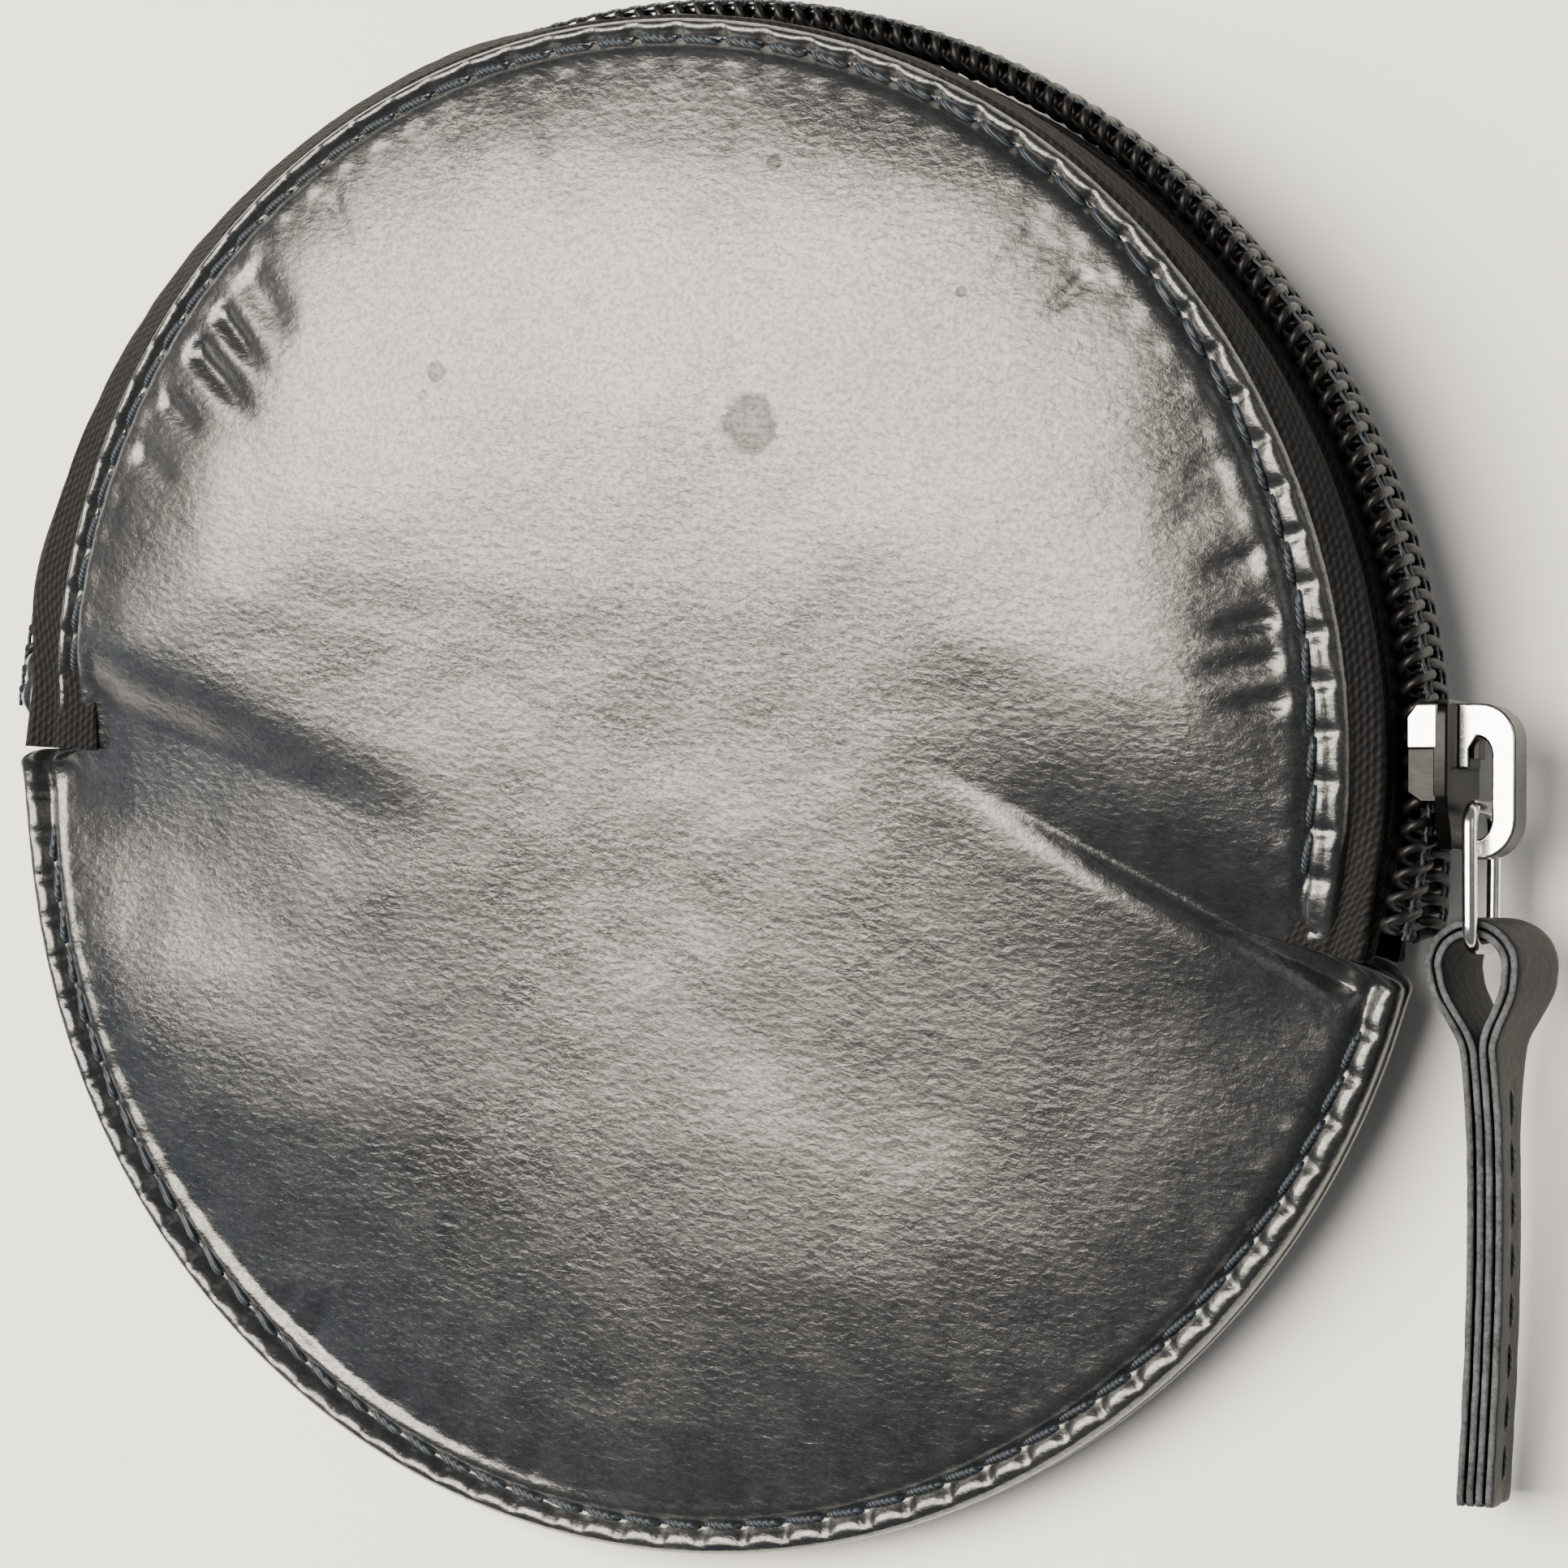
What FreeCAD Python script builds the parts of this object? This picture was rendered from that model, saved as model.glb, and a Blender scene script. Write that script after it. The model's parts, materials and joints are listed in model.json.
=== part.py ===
"""Round leather coin purse with a coil zip round its upper half.

Millimetres. Everything except the table plane is drawn in the seam frame: the disc's axis is Z, the
closed zip and the lower seam lie in Z = 0, the slider's resting side is +X and the mouth is +Y. The
lie placement then turns that frame about X, so that the back panel rests flat on Z = 0 of the part.
"""
import FreeCAD
import Part
import Sketcher
import math
import os

Vector = FreeCAD.Vector
X_AXIS = Vector(1, 0, 0)
Z_AXIS = Vector(0, 0, 1)

SIZES = {
    # disc and mouth outline
    "disc_radius": 50.0,
    "mouth_radius": 46.05,
    "mouth_centre_y": 1.6,
    "mouth_rim_z": 5.0,
    "mouth_slope": 0.114,
    "notch_y": -5.6,
    "notch_blend": 5.0,
    "notch_spread": 0.85,
    "belly": 5.5,
    # leather, lining and how the purse lies
    "leather": 1.1,
    "lining": 0.4,
    "ply_gap": 0.02,
    "lining_inset": 3.9,
    "lie_slope": 0.089,
    "lie_height": 7.3,
    "foot_depth": 0.2,
    # line where the front panel folds when the mouth opens
    "fold_y": 18.0,
    "fold_gap": 0.3,
    # zip chain
    "coil_ring": 49.2,
    "coil_tube": 1.2,
    "coil_z": 1.6,
    "chain_low_y": -2.0,
    "tape": 0.55,
    "tape_ring": 47.4,
    "tape_edge_z": 0.4,
    "tape_bend_z": 3.1,
    "tape_low_y": -3.6,
    "tape_tuck": 3.4,
    # stitches
    "thread": 0.56,
    "stitch_length": 2.2,
    "stitch_pitch": 3.0,
    "stitch_inset": 2.7,
    # slider
    "slider_angle": 8.1,
    "slider_length": 9.0,
    "top_plate_in": 50.8,
    "top_plate_out": 51.7,
    "top_plate_width": 7.8,
    "bottom_plate_in": 46.1,
    "bottom_plate_out": 47.0,
    "bottom_plate_width": 5.4,
    "nose_width": 5.0,
    "shoulder": -1.5,
    "top_round": 0.3,
    "flange_wall": 0.65,
    "flange_in": 49.2,
    "flange_low": -1.4,
    "blade": 0.35,
    "blade_start": -3.9,
    "blade_length": 2.6,
    "crown_out": 55.2,
    "crown_width": 2.9,
    "crown_wall": 0.8,
    "crown_low": -4.9,
    "crown_high": 4.3,
    "crown_bar": 0.3,
    "crown_slope": 1.6,
    "crown_corner": 1.8,
    "crown_gap": 0.35,
    "crown_seat": 0.8,
    "crown_round": 0.35,
    "leaf_level": 0.85,
    "leaf": 0.25,
    "leaf_start": 1.0,
    "leaf_margin": 1.1,
    # pull link and strap
    "wire": 0.9,
    "link_ring": 52.85,
    "link_top": -1.9,
    "link_length": 8.3,
    "link_width": 6.1,
    "link_corner": 1.2,
    "strap_width": 4.6,
    "strap_ply": 0.57,
    "strap_loop": 1.2,
    "strap_neck": 5.2,
    "strap_length": 32.4,
    "strap_stitch_start": 8.0,
    # bottom stop
    "stop_angle": 180.0,
    "stop_length": 4.4,
    "stop_out": 51.4,
    "stop_in": 48.1,
    "stop_width": 6.6,
    "stop_wall": 0.5,
    "stop_roof": 0.9,
    "stop_round": 0.4,
}

SURFACE_REACH = 56.0
SURFACE_STEPS = 28
SPACE_DEPTH = 40.0
FAR = 120.0
PRESS_SOFTNESS = 0.6
STITCH_LIFT = 1.15
TOUCH = 1e-4

doc = FreeCAD.newDocument("coin_purse")
sheet = doc.addObject("Spreadsheet::Sheet", "sizes")
for row, (alias, value) in enumerate(SIZES.items(), start=1):
    sheet.set(f"A{row}", alias)
    sheet.set(f"B{row}", str(value))
    sheet.setAlias(f"B{row}", alias)
doc.recompute()


def size(alias):
    return float(sheet.get(alias))


def number(expression):
    """Value of an expression over the sheet's aliases, written as sizes.alias."""
    return float(sheet.evalExpression(expression))


LIE_ANGLE = math.degrees(math.atan(size("lie_slope")))
LIE = FreeCAD.Placement(
    Vector(0, 0, size("lie_height") * math.cos(math.radians(LIE_ANGLE))),
    FreeCAD.Rotation(X_AXIS, LIE_ANGLE),
)
ON_SLIDER = FreeCAD.Placement(Vector(), FreeCAD.Rotation(Z_AXIS, size("slider_angle")))
ON_STOP = FreeCAD.Placement(Vector(), FreeCAD.Rotation(Z_AXIS, size("stop_angle")))

parts = []


def finish_part(item, label, placement=LIE):
    """Name a sub-part and put it where the purse lies."""
    item.Label = label
    item.Placement = placement.multiply(item.Placement)
    parts.append(item)
    return item


# ---------------------------------------------------------------- leather surfaces


def smooth_step(value):
    clipped = min(max(value, 0.0), 1.0)
    return clipped * clipped * (3.0 - 2.0 * clipped)


def rim_height(x, y):
    """Half thickness of the purse at its rim: thin at the lower seam, a slanted plane at the mouth."""
    seam = size("leather") + size("lining") + size("ply_gap")
    mouth = size("mouth_rim_z") + size("mouth_slope") * y
    inside = max(size("disc_radius") - math.hypot(x, y), 0.0)
    width = size("notch_blend") + size("notch_spread") * inside
    share = 0.5 * (1.0 + math.tanh((y - size("notch_y")) / width))
    return seam + (mouth - seam) * share


def belly_height(x, y):
    """How far a panel bulges out between its rims."""
    share = smooth_step((y + 10.0) / 10.0)
    radius = size("disc_radius") + (size("mouth_radius") - size("disc_radius")) * share
    centre_y = size("mouth_centre_y") * share
    reach = (x * x + (y - centre_y) ** 2) / radius ** 2
    return size("belly") * (1.0 - reach)


def front_height(x, y):
    return rim_height(x, y) + belly_height(x, y)


def back_height(x, y):
    """Like the front, but pressed flat where the purse rests."""
    free = -front_height(x, y)
    table = -(size("lie_height") + size("lie_slope") * y) - size("foot_depth")
    return 0.5 * (free + table + math.hypot(free - table, PRESS_SOFTNESS))


def surface_slab(name, height, offset, thickness):
    """Solid between a panel surface moved by offset and the same surface moved on by thickness."""
    step = 2.0 * SURFACE_REACH / SURFACE_STEPS
    grid = []
    for column in range(SURFACE_STEPS + 1):
        x = -SURFACE_REACH + column * step
        places = [-SURFACE_REACH + line * step for line in range(SURFACE_STEPS + 1)]
        grid.append([Vector(x, y, height(x, y) + offset) for y in places])
    surface = Part.BSplineSurface()
    surface.interpolate(grid)
    item = doc.addObject("Part::Feature", name)
    item.Shape = surface.toShape().extrude(Vector(0, 0, thickness))
    return item


# ---------------------------------------------------------------- sketches and bodies


def new_sketch(body, name, role, offset="0"):
    """Sketch on one of the body's origin planes, moved along the plane's normal by an expression."""
    sketch = body.newObject("Sketcher::SketchObject", name)
    plane = [feature for feature in body.Origin.OriginFeatures if feature.Role == role][0]
    sketch.AttachmentSupport = [(plane, "")]
    sketch.MapMode = "FlatFace"
    sketch.AttachmentOffset = FreeCAD.Placement(Vector(0, 0, number(offset)), FreeCAD.Rotation())
    sketch.setExpression("AttachmentOffset.Base.z", offset)
    return sketch


def bound(sketch, constraint, expression):
    """Add a dimension whose value is an expression over the sheet."""
    index = sketch.addConstraint(Sketcher.Constraint(*constraint, number(expression)))
    sketch.setExpression(f"Constraints[{index}]", expression)


def closed_outline(sketch, corners, bows=None):
    """Anticlockwise loop through corners, each a pair of expressions; bows gives an edge's radius.

    A bow is (radius, side): side 1 bends outwards, with its centre left of the edge, and -1 inwards.
    """
    bows = bows or {}
    points = [Vector(number(x), number(y), 0) for x, y in corners]
    ends = []
    for index, start in enumerate(points):
        end = points[(index + 1) % len(points)]
        if index not in bows:
            ends.append((sketch.addGeometry(Part.LineSegment(start, end)), 1, 2))
            continue
        radius_expression, side = bows[index]
        radius = number(radius_expression)
        chord = end - start
        left = Vector(-chord.y, chord.x, 0).normalize()
        depth = math.sqrt(max(radius ** 2 - chord.Length ** 2 / 4, 0.0))
        centre = (start + end) * 0.5 + left * (side * depth)
        first, last = (start, end) if side > 0 else (end, start)
        begin = math.atan2(first.y - centre.y, first.x - centre.x)
        finish = math.atan2(last.y - centre.y, last.x - centre.x)
        arc = Part.ArcOfCircle(Part.Circle(centre, Z_AXIS, radius), begin, finish)
        ends.append((sketch.addGeometry(arc), 1, 2) if side > 0 else (sketch.addGeometry(arc), 2, 1))
    for index, (edge, _, end_point) in enumerate(ends):
        following, following_start, _ = ends[(index + 1) % len(ends)]
        sketch.addConstraint(Sketcher.Constraint("Coincident", edge, end_point, following, following_start))
    for index, (edge, start_point, _) in enumerate(ends):
        bound(sketch, ("DistanceX", -1, 1, edge, start_point), corners[index][0])
        bound(sketch, ("DistanceY", -1, 1, edge, start_point), corners[index][1])
        if index in bows:
            bound(sketch, ("Radius", edge), bows[index][0])


def padded(body, name, sketch, length, symmetric=False):
    pad = body.newObject("PartDesign::Pad", name)
    pad.Profile = sketch
    pad.setExpression("Length", length)
    if symmetric:
        pad.SideType = "Symmetric"
    doc.recompute()
    return pad


def rounded(body, name, radius, wanted):
    """Fillet the edges of the body's tip that the wanted test picks."""
    tip = body.Tip
    edges = [f"Edge{n}" for n, edge in enumerate(tip.Shape.Edges, start=1) if wanted(edge)]
    fillet = body.newObject("PartDesign::Fillet", name)
    fillet.Base = (tip, edges)
    fillet.Radius = radius
    doc.recompute()
    return fillet


def at_level(level):
    """Test that picks the edges lying at one distance from the disc's axis, in a body's own X."""
    return lambda edge: all(abs(vertex.X - level) < TOUCH for vertex in edge.Vertexes)


def mirrored_x(corners):
    """Second half of an outline that is the same left and right, in the opposite order."""
    return [(f"-({x})", y) for x, y in reversed(corners)]


# ---------------------------------------------------------------- panels and linings

LOW_EDGE = "sizes.fold_y - sizes.fold_gap / 2"
HIGH_EDGE = "sizes.fold_y + sizes.fold_gap / 2"


def on_circle(radius, y, centre_y="0"):
    """X of the point at height y on a circle about (0, centre_y)."""
    return f"sqrt(({radius})^2 - ({y} - ({centre_y}))^2)"


def prism_body(name, corners, bows):
    """Tall prism that trims a curved slab to an outline."""
    body = doc.addObject("PartDesign::Body", name)
    sketch = new_sketch(body, f"{name}_sketch", "XY_Plane")
    closed_outline(sketch, corners, bows)
    padded(body, f"{name}_pad", sketch, str(2 * SPACE_DEPTH), symmetric=True)
    return body


def lower_outline(name, seam_radius, mouth_radius, top_y):
    """Lower half disc, the two notch steps, and the sides of the mouth up to top_y."""
    centre = "sizes.mouth_centre_y"
    right = [
        (on_circle(seam_radius, "sizes.notch_y"), "sizes.notch_y"),
        (on_circle(mouth_radius, "sizes.notch_y", centre), "sizes.notch_y"),
        (on_circle(mouth_radius, top_y, centre), top_y),
    ]
    corners = right + mirrored_x(right)
    bows = {1: (mouth_radius, 1), 3: (mouth_radius, 1), 5: (seam_radius, 1)}
    return prism_body(name, corners, bows)


def upper_outline(name, mouth_radius, low_y):
    """Segment of the mouth circle above low_y."""
    side = (on_circle(mouth_radius, low_y, "sizes.mouth_centre_y"), low_y)
    return prism_body(name, [side] + mirrored_x([side]), {0: (mouth_radius, 1)})


def full_outline(name, seam_radius, mouth_radius):
    """Whole panel: lower half disc, notch steps and the mouth circle."""
    centre = "sizes.mouth_centre_y"
    right = [
        (on_circle(seam_radius, "sizes.notch_y"), "sizes.notch_y"),
        (on_circle(mouth_radius, "sizes.notch_y", centre), "sizes.notch_y"),
        (on_circle(mouth_radius, "sizes.fold_y", centre), "sizes.fold_y"),
    ]
    corners = right + mirrored_x(right)
    bows = {
        1: (mouth_radius, 1),
        2: (mouth_radius, 1),
        3: (mouth_radius, 1),
        5: (seam_radius, 1),
    }
    return prism_body(name, corners, bows)


def common(label, *items):
    """Sub-part that is the common solid of several shapes."""
    item = doc.addObject("Part::MultiCommon", f"{label}_common")
    item.Shapes = list(items)
    return finish_part(item, label)


def table_space():
    """Everything above the table plane, drawn in the seam frame."""
    box = doc.addObject("Part::Box", "table_space")
    box.Length = 2 * FAR
    box.Width = 2 * FAR
    box.Height = FAR
    box.Placement = LIE.inverse().multiply(FreeCAD.Placement(Vector(-FAR, -FAR, 0), FreeCAD.Rotation()))
    return box


def make_panels():
    leather = size("leather")
    lining = size("lining")
    gap = size("ply_gap")
    front = surface_slab("front_leather_slab", front_height, 0, -leather)
    front_lining = surface_slab("front_lining_slab", front_height, -leather - gap, gap - lining)
    back = surface_slab("back_leather_slab", back_height, 0, leather)
    back_lining = surface_slab("back_lining_slab", back_height, leather + gap, lining - gap)
    seam = "sizes.disc_radius"
    mouth = "sizes.mouth_radius"
    seam_inner = "sizes.disc_radius - sizes.ply_gap"
    mouth_inner = "sizes.mouth_radius - sizes.lining_inset"
    common("back_panel", back, full_outline("back_outline", seam, mouth), table_space())
    common("back_lining", back_lining, full_outline("back_lining_outline", seam_inner, mouth_inner))
    common("front_panel_lower", front, lower_outline("front_lower_outline", seam, mouth, LOW_EDGE))
    common("front_panel_upper", front, upper_outline("front_upper_outline", mouth, HIGH_EDGE))
    common(
        "front_lining_lower",
        front_lining,
        lower_outline("lining_lower_outline", seam_inner, mouth_inner, LOW_EDGE),
    )
    common("front_lining_upper", front_lining, upper_outline("lining_upper_outline", mouth_inner, HIGH_EDGE))


# ---------------------------------------------------------------- zip chain


def band_space(name, low_y, high_y):
    """Slice of space between two heights on the purse, for splitting the chain."""
    box = doc.addObject("Part::Box", name)
    box.Length = 2 * FAR
    box.Height = 2 * FAR
    box.setExpression("Width", f"{high_y} - ({low_y})")
    box.Placement.Base = Vector(-FAR, number(low_y), -FAR)
    box.setExpression("Placement.Base.y", low_y)
    return box


def tape_part(label, item, leather_space, low_y, high_y):
    """The slice of a tape between two heights on the purse, kept clear of the panel's leather."""
    band = doc.addObject("Part::Common", f"{label}_band")
    band.Base = item
    band.Tool = band_space(f"{label}_space", low_y, high_y)
    doc.recompute()
    clear = doc.addObject("Part::Feature", f"{label}_clear")
    clear.Shape = band.Shape.common(leather_space.Shape)
    return finish_part(clear, label)


def coil_ring(name, side):
    """One coil row as a plain tube round the chain circle, on the front (1) or back (-1)."""
    torus = doc.addObject("Part::Torus", name)
    torus.setExpression("Radius1", "sizes.coil_ring")
    torus.setExpression("Radius2", "sizes.coil_tube")
    torus.setExpression("Placement.Base.z", f"{side} * sizes.coil_z")
    return torus


def rim_placement(side, depth):
    """Placement on the slanted plane of the mouth rim, a depth below the leather's outer face."""
    tilt = math.degrees(math.atan(size("mouth_slope")))
    centre_y = size("mouth_centre_y")
    level = size("mouth_rim_z") + size("mouth_slope") * centre_y - depth
    return FreeCAD.Placement(Vector(0, centre_y, side * level), FreeCAD.Rotation(X_AXIS, side * tilt))


def ring_outline(sketch, outer, inner, low_y):
    """Band between two circles about the sketch's origin, above low_y."""
    turn_y = "sizes.fold_y"
    right = [(on_circle(outer, low_y), low_y), (on_circle(outer, turn_y), turn_y)]
    inside = [(on_circle(inner, low_y), low_y), (on_circle(inner, turn_y), turn_y)]
    corners = right + mirrored_x(right) + [(f"-({x})", y) for x, y in inside] + list(reversed(inside))
    bows = {edge: (outer, 1) for edge in (0, 1, 2)}
    bows.update({edge: (inner, -1) for edge in (4, 5, 6)})
    closed_outline(sketch, corners, bows)


def tape_body(name, side):
    """One tape: the woven edge under the coil, the slanted wall, and the margin sewn to the panel."""
    body = doc.addObject("PartDesign::Body", name)
    ring_outer = "sizes.tape_ring + sizes.tape"
    ring_low = "sizes.tape_low_y - 1"
    rim_low = "sizes.tape_low_y - 1 - sizes.mouth_centre_y"
    low = "sizes.tape_edge_z" if side > 0 else "-sizes.tape_bend_z"
    edge = new_sketch(body, f"{name}_edge_sketch", "XY_Plane", low)
    ring_outline(edge, ring_outer, "sizes.tape_ring", ring_low)
    padded(body, f"{name}_edge", edge, "sizes.tape_bend_z - sizes.tape_edge_z")
    bend = new_sketch(body, f"{name}_bend_sketch", "XY_Plane", f"{side} * sizes.tape_bend_z")
    ring_outline(bend, ring_outer, "sizes.tape_ring", ring_low)
    rim = new_sketch(body, f"{name}_rim_sketch", "XY_Plane")
    rim.setExpression("AttachmentOffset.Base.z", None)
    rim.AttachmentOffset = rim_placement(side, 0)
    ring_outline(rim, "sizes.mouth_radius - sizes.ply_gap", "sizes.mouth_radius - sizes.tape", rim_low)
    doc.recompute()
    wall = body.newObject("PartDesign::AdditiveLoft", f"{name}_wall")
    wall.Profile = bend
    wall.Sections = [rim]
    wall.Ruled = True
    doc.recompute()
    margin = new_sketch(body, f"{name}_margin_sketch", "XY_Plane")
    margin.setExpression("AttachmentOffset.Base.z", None)
    margin.AttachmentOffset = rim_placement(side, size("leather") + (size("tape") if side > 0 else 0))
    margin_outer = "sizes.mouth_radius - sizes.tape / 2"
    ring_outline(margin, margin_outer, "sizes.mouth_radius - sizes.tape_tuck", rim_low)
    padded(body, f"{name}_margin", margin, "sizes.tape")
    return body


def make_chain():
    gap = size("ply_gap")
    under_front = surface_slab("under_front", front_height, -size("leather") - gap, -SPACE_DEPTH)
    over_back = surface_slab("over_back", back_height, size("leather") + gap, SPACE_DEPTH)
    top = str(FAR)
    chain_low = "sizes.chain_low_y"
    flap_space = band_space("flap_coil_space", HIGH_EDGE, top)
    end_space = band_space("end_coil_space", chain_low, LOW_EDGE)
    back_space = band_space("back_coil_space", chain_low, top)
    common("coil_front", coil_ring("front_ring", 1), flap_space)
    common("coil_front_ends", coil_ring("front_end_ring", 1), end_space)
    common("coil_back", coil_ring("back_ring", -1), back_space)
    front_tape = tape_body("front_tape", 1)
    back_tape = tape_body("back_tape", -1)
    low = "sizes.tape_low_y"
    tape_part("zip_tape_front", front_tape, under_front, HIGH_EDGE, top)
    tape_part("zip_tape_front_ends", front_tape, under_front, low, LOW_EDGE)
    tape_part("zip_tape_back", back_tape, over_back, low, top)


def make_bottom_stop():
    """Clip that closes the chain's left end: a roof and two cheeks over both coil rows."""
    body = doc.addObject("PartDesign::Body", "zip_bottom_stop_body")
    outline = new_sketch(body, "stop_section", "XZ_Plane")
    half = "sizes.stop_width / 2"
    inner_half = "sizes.stop_width / 2 - sizes.stop_wall"
    roof = "sizes.stop_out - sizes.stop_roof"
    corners = [
        ("sizes.stop_in", f"-({half})"),
        ("sizes.stop_out", f"-({half})"),
        ("sizes.stop_out", half),
        ("sizes.stop_in", half),
        ("sizes.stop_in", inner_half),
        (roof, inner_half),
        (roof, f"-({inner_half})"),
        ("sizes.stop_in", f"-({inner_half})"),
    ]
    closed_outline(outline, corners)
    padded(body, "stop_pad", outline, "sizes.stop_length", symmetric=True)
    rounded(body, "stop_round", size("stop_round"), at_level(size("stop_out")))
    finish_part(body, "zip_bottom_stop", LIE.multiply(ON_STOP))


# ---------------------------------------------------------------- stitches


def stitch_row(label, circle_radius, centre_y, low_y, high_y, height, side):
    """Short thread runs round a rim, one per stitch, standing on the leather's outer face.

    The row keeps the points of its circle whose y lies between low_y and high_y.
    """
    radius = circle_radius - size("stitch_inset")
    count = int(2 * math.pi * radius / size("stitch_pitch"))
    lift = side * (size("thread") / 2 + size("ply_gap"))
    solids = []
    for number_in_row in range(count):
        angle = 2 * math.pi * (number_in_row + 0.5) / count
        y = centre_y + radius * math.sin(angle)
        if not low_y < y < high_y:
            continue
        x = radius * math.cos(angle)
        along = Vector(-math.sin(angle), math.cos(angle), 0)
        half = size("stitch_length") / 2
        ends = []
        for way in (-half, half):
            end = Vector(x, y, 0) + along * way
            ends.append(Vector(end.x, end.y, height(end.x, end.y) + lift * STITCH_LIFT))
        run = ends[1] - ends[0]
        solids.append(Part.makeCylinder(size("thread") / 2, run.Length, ends[0], run))
    item = doc.addObject("Part::Feature", label)
    item.Shape = Part.makeCompound(solids)
    return item


def make_stitches():
    mouth = size("mouth_radius")
    centre_y = size("mouth_centre_y")
    disc = size("disc_radius")
    notch = size("notch_y")
    clear = size("stitch_length") / 2 + size("fold_gap")
    fold = size("fold_y")
    front_lower = stitch_row("lower_front_row", disc, 0, -disc, notch - clear, front_height, 1)
    back_lower = stitch_row("lower_back_row", disc, 0, -disc, notch - clear, back_height, -1)
    lower = doc.addObject("Part::Compound", "lower_rows")
    lower.Links = [front_lower, back_lower]
    finish_part(lower, "seam_thread_lower")
    finish_part(
        stitch_row("flap_row", mouth, centre_y, fold + clear, FAR, front_height, 1), "seam_thread_mouth_front"
    )
    finish_part(
        stitch_row("end_row", mouth, centre_y, notch + clear, fold - clear, front_height, 1),
        "seam_thread_mouth_ends",
    )
    finish_part(
        stitch_row("back_row", mouth, centre_y, notch + clear, FAR, back_height, -1), "seam_thread_mouth_back"
    )


# ---------------------------------------------------------------- slider


def plate(body, name, level, thickness, width):
    """Shield-shaped plate of the slider: full width at its shoulders, narrower at its tail."""
    sketch = new_sketch(body, f"{name}_sketch", "YZ_Plane", level)
    half_length = "sizes.slider_length / 2"
    tail = "sizes.nose_width / 2"
    half = f"{width} / 2"
    right = [
        (f"-({half_length})", f"-({tail})"),
        ("sizes.shoulder", f"-({half})"),
        (half_length, f"-({half})"),
        (half_length, half),
        ("sizes.shoulder", half),
        (f"-({half_length})", tail),
    ]
    closed_outline(sketch, right)
    padded(body, f"{name}_pad", sketch, thickness)


def flange(body, name, side):
    """Side lip that hangs from the top plate beside the coil."""
    sketch = new_sketch(body, f"{name}_sketch", "YZ_Plane", "sizes.flange_in")
    outer = "sizes.top_plate_width / 2"
    inner = "sizes.top_plate_width / 2 - sizes.flange_wall"
    low, high = (inner, outer) if side > 0 else (f"-({outer})", f"-({inner})")
    half_length = "sizes.slider_length / 2"
    foot = "sizes.flange_low"
    closed_outline(sketch, [(foot, low), (half_length, low), (half_length, high), (foot, high)])
    padded(body, f"{name}_pad", sketch, "sizes.top_plate_out - sizes.flange_in - 0.1")


def make_slider_body():
    body = doc.addObject("PartDesign::Body", "slider_body_body")
    plate(body, "top_plate", "sizes.top_plate_in", "sizes.top_plate_out - sizes.top_plate_in",
          "sizes.top_plate_width")
    flange(body, "right_flange", 1)
    flange(body, "left_flange", -1)
    sketch = new_sketch(body, "blade_sketch", "YZ_Plane", "sizes.bottom_plate_in")
    half = "sizes.blade / 2"
    start = "sizes.blade_start"
    end = f"{start} + sizes.blade_length"
    closed_outline(sketch, [(start, f"-({half})"), (end, f"-({half})"), (end, half), (start, half)])
    padded(body, "blade_pad", sketch, "sizes.top_plate_in - sizes.bottom_plate_in + 0.2")
    plate(body, "bottom_plate", "sizes.bottom_plate_in", "sizes.bottom_plate_out - sizes.bottom_plate_in",
          "sizes.bottom_plate_width")
    rounded(body, "top_round", size("top_round"), at_level(size("top_plate_out")))
    finish_part(body, "slider_body", LIE.multiply(ON_SLIDER))


def make_crown():
    """Hollow cap over the top plate; the link's top bar lies in its open lower end."""
    body = doc.addObject("PartDesign::Body", "slider_crown_body")
    sketch = new_sketch(body, "crown_profile", "XY_Plane")
    base = "sizes.top_plate_out + sizes.ply_gap"
    out = "sizes.crown_out"
    low = "sizes.crown_low"
    high = "sizes.crown_high"
    lip = "sizes.top_plate_out + sizes.crown_gap"
    slope = f"{out} - sizes.crown_slope"
    corner = "sizes.crown_corner"
    inner = f"{out} - sizes.crown_wall"
    inner_slope = f"{slope} - 0.1"
    seat = "sizes.top_plate_out + sizes.crown_seat"
    ceiling = f"{high} - sizes.crown_wall"
    corners = [
        (base, "sizes.crown_bar"),
        (base, high),
        (slope, high),
        (out, f"{high} - {corner}"),
        (out, f"{low} + {corner}"),
        (slope, low),
        (lip, f"{low} + 0.5"),
        (lip, f"{low} + 1.2"),
        (f"{inner_slope} - 0.1", f"{low} + 0.9"),
        (inner, f"{low} + {corner} + 0.2"),
        (inner, f"{high} - {corner} - 0.2"),
        (inner_slope, ceiling),
        (seat, ceiling),
        (seat, "sizes.crown_bar"),
    ]
    closed_outline(sketch, list(reversed(corners)))
    padded(body, "crown_pad", sketch, "sizes.crown_width", symmetric=True)
    half = size("crown_width") / 2
    outer = size("crown_out")

    def on_outer_rim(edge):
        return all(abs(abs(v.Z) - half) < TOUCH and abs(v.X - outer) < TOUCH for v in edge.Vertexes)

    rounded(body, "crown_round", size("crown_round"), on_outer_rim)
    finish_part(body, "slider_crown", LIE.multiply(ON_SLIDER))


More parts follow.
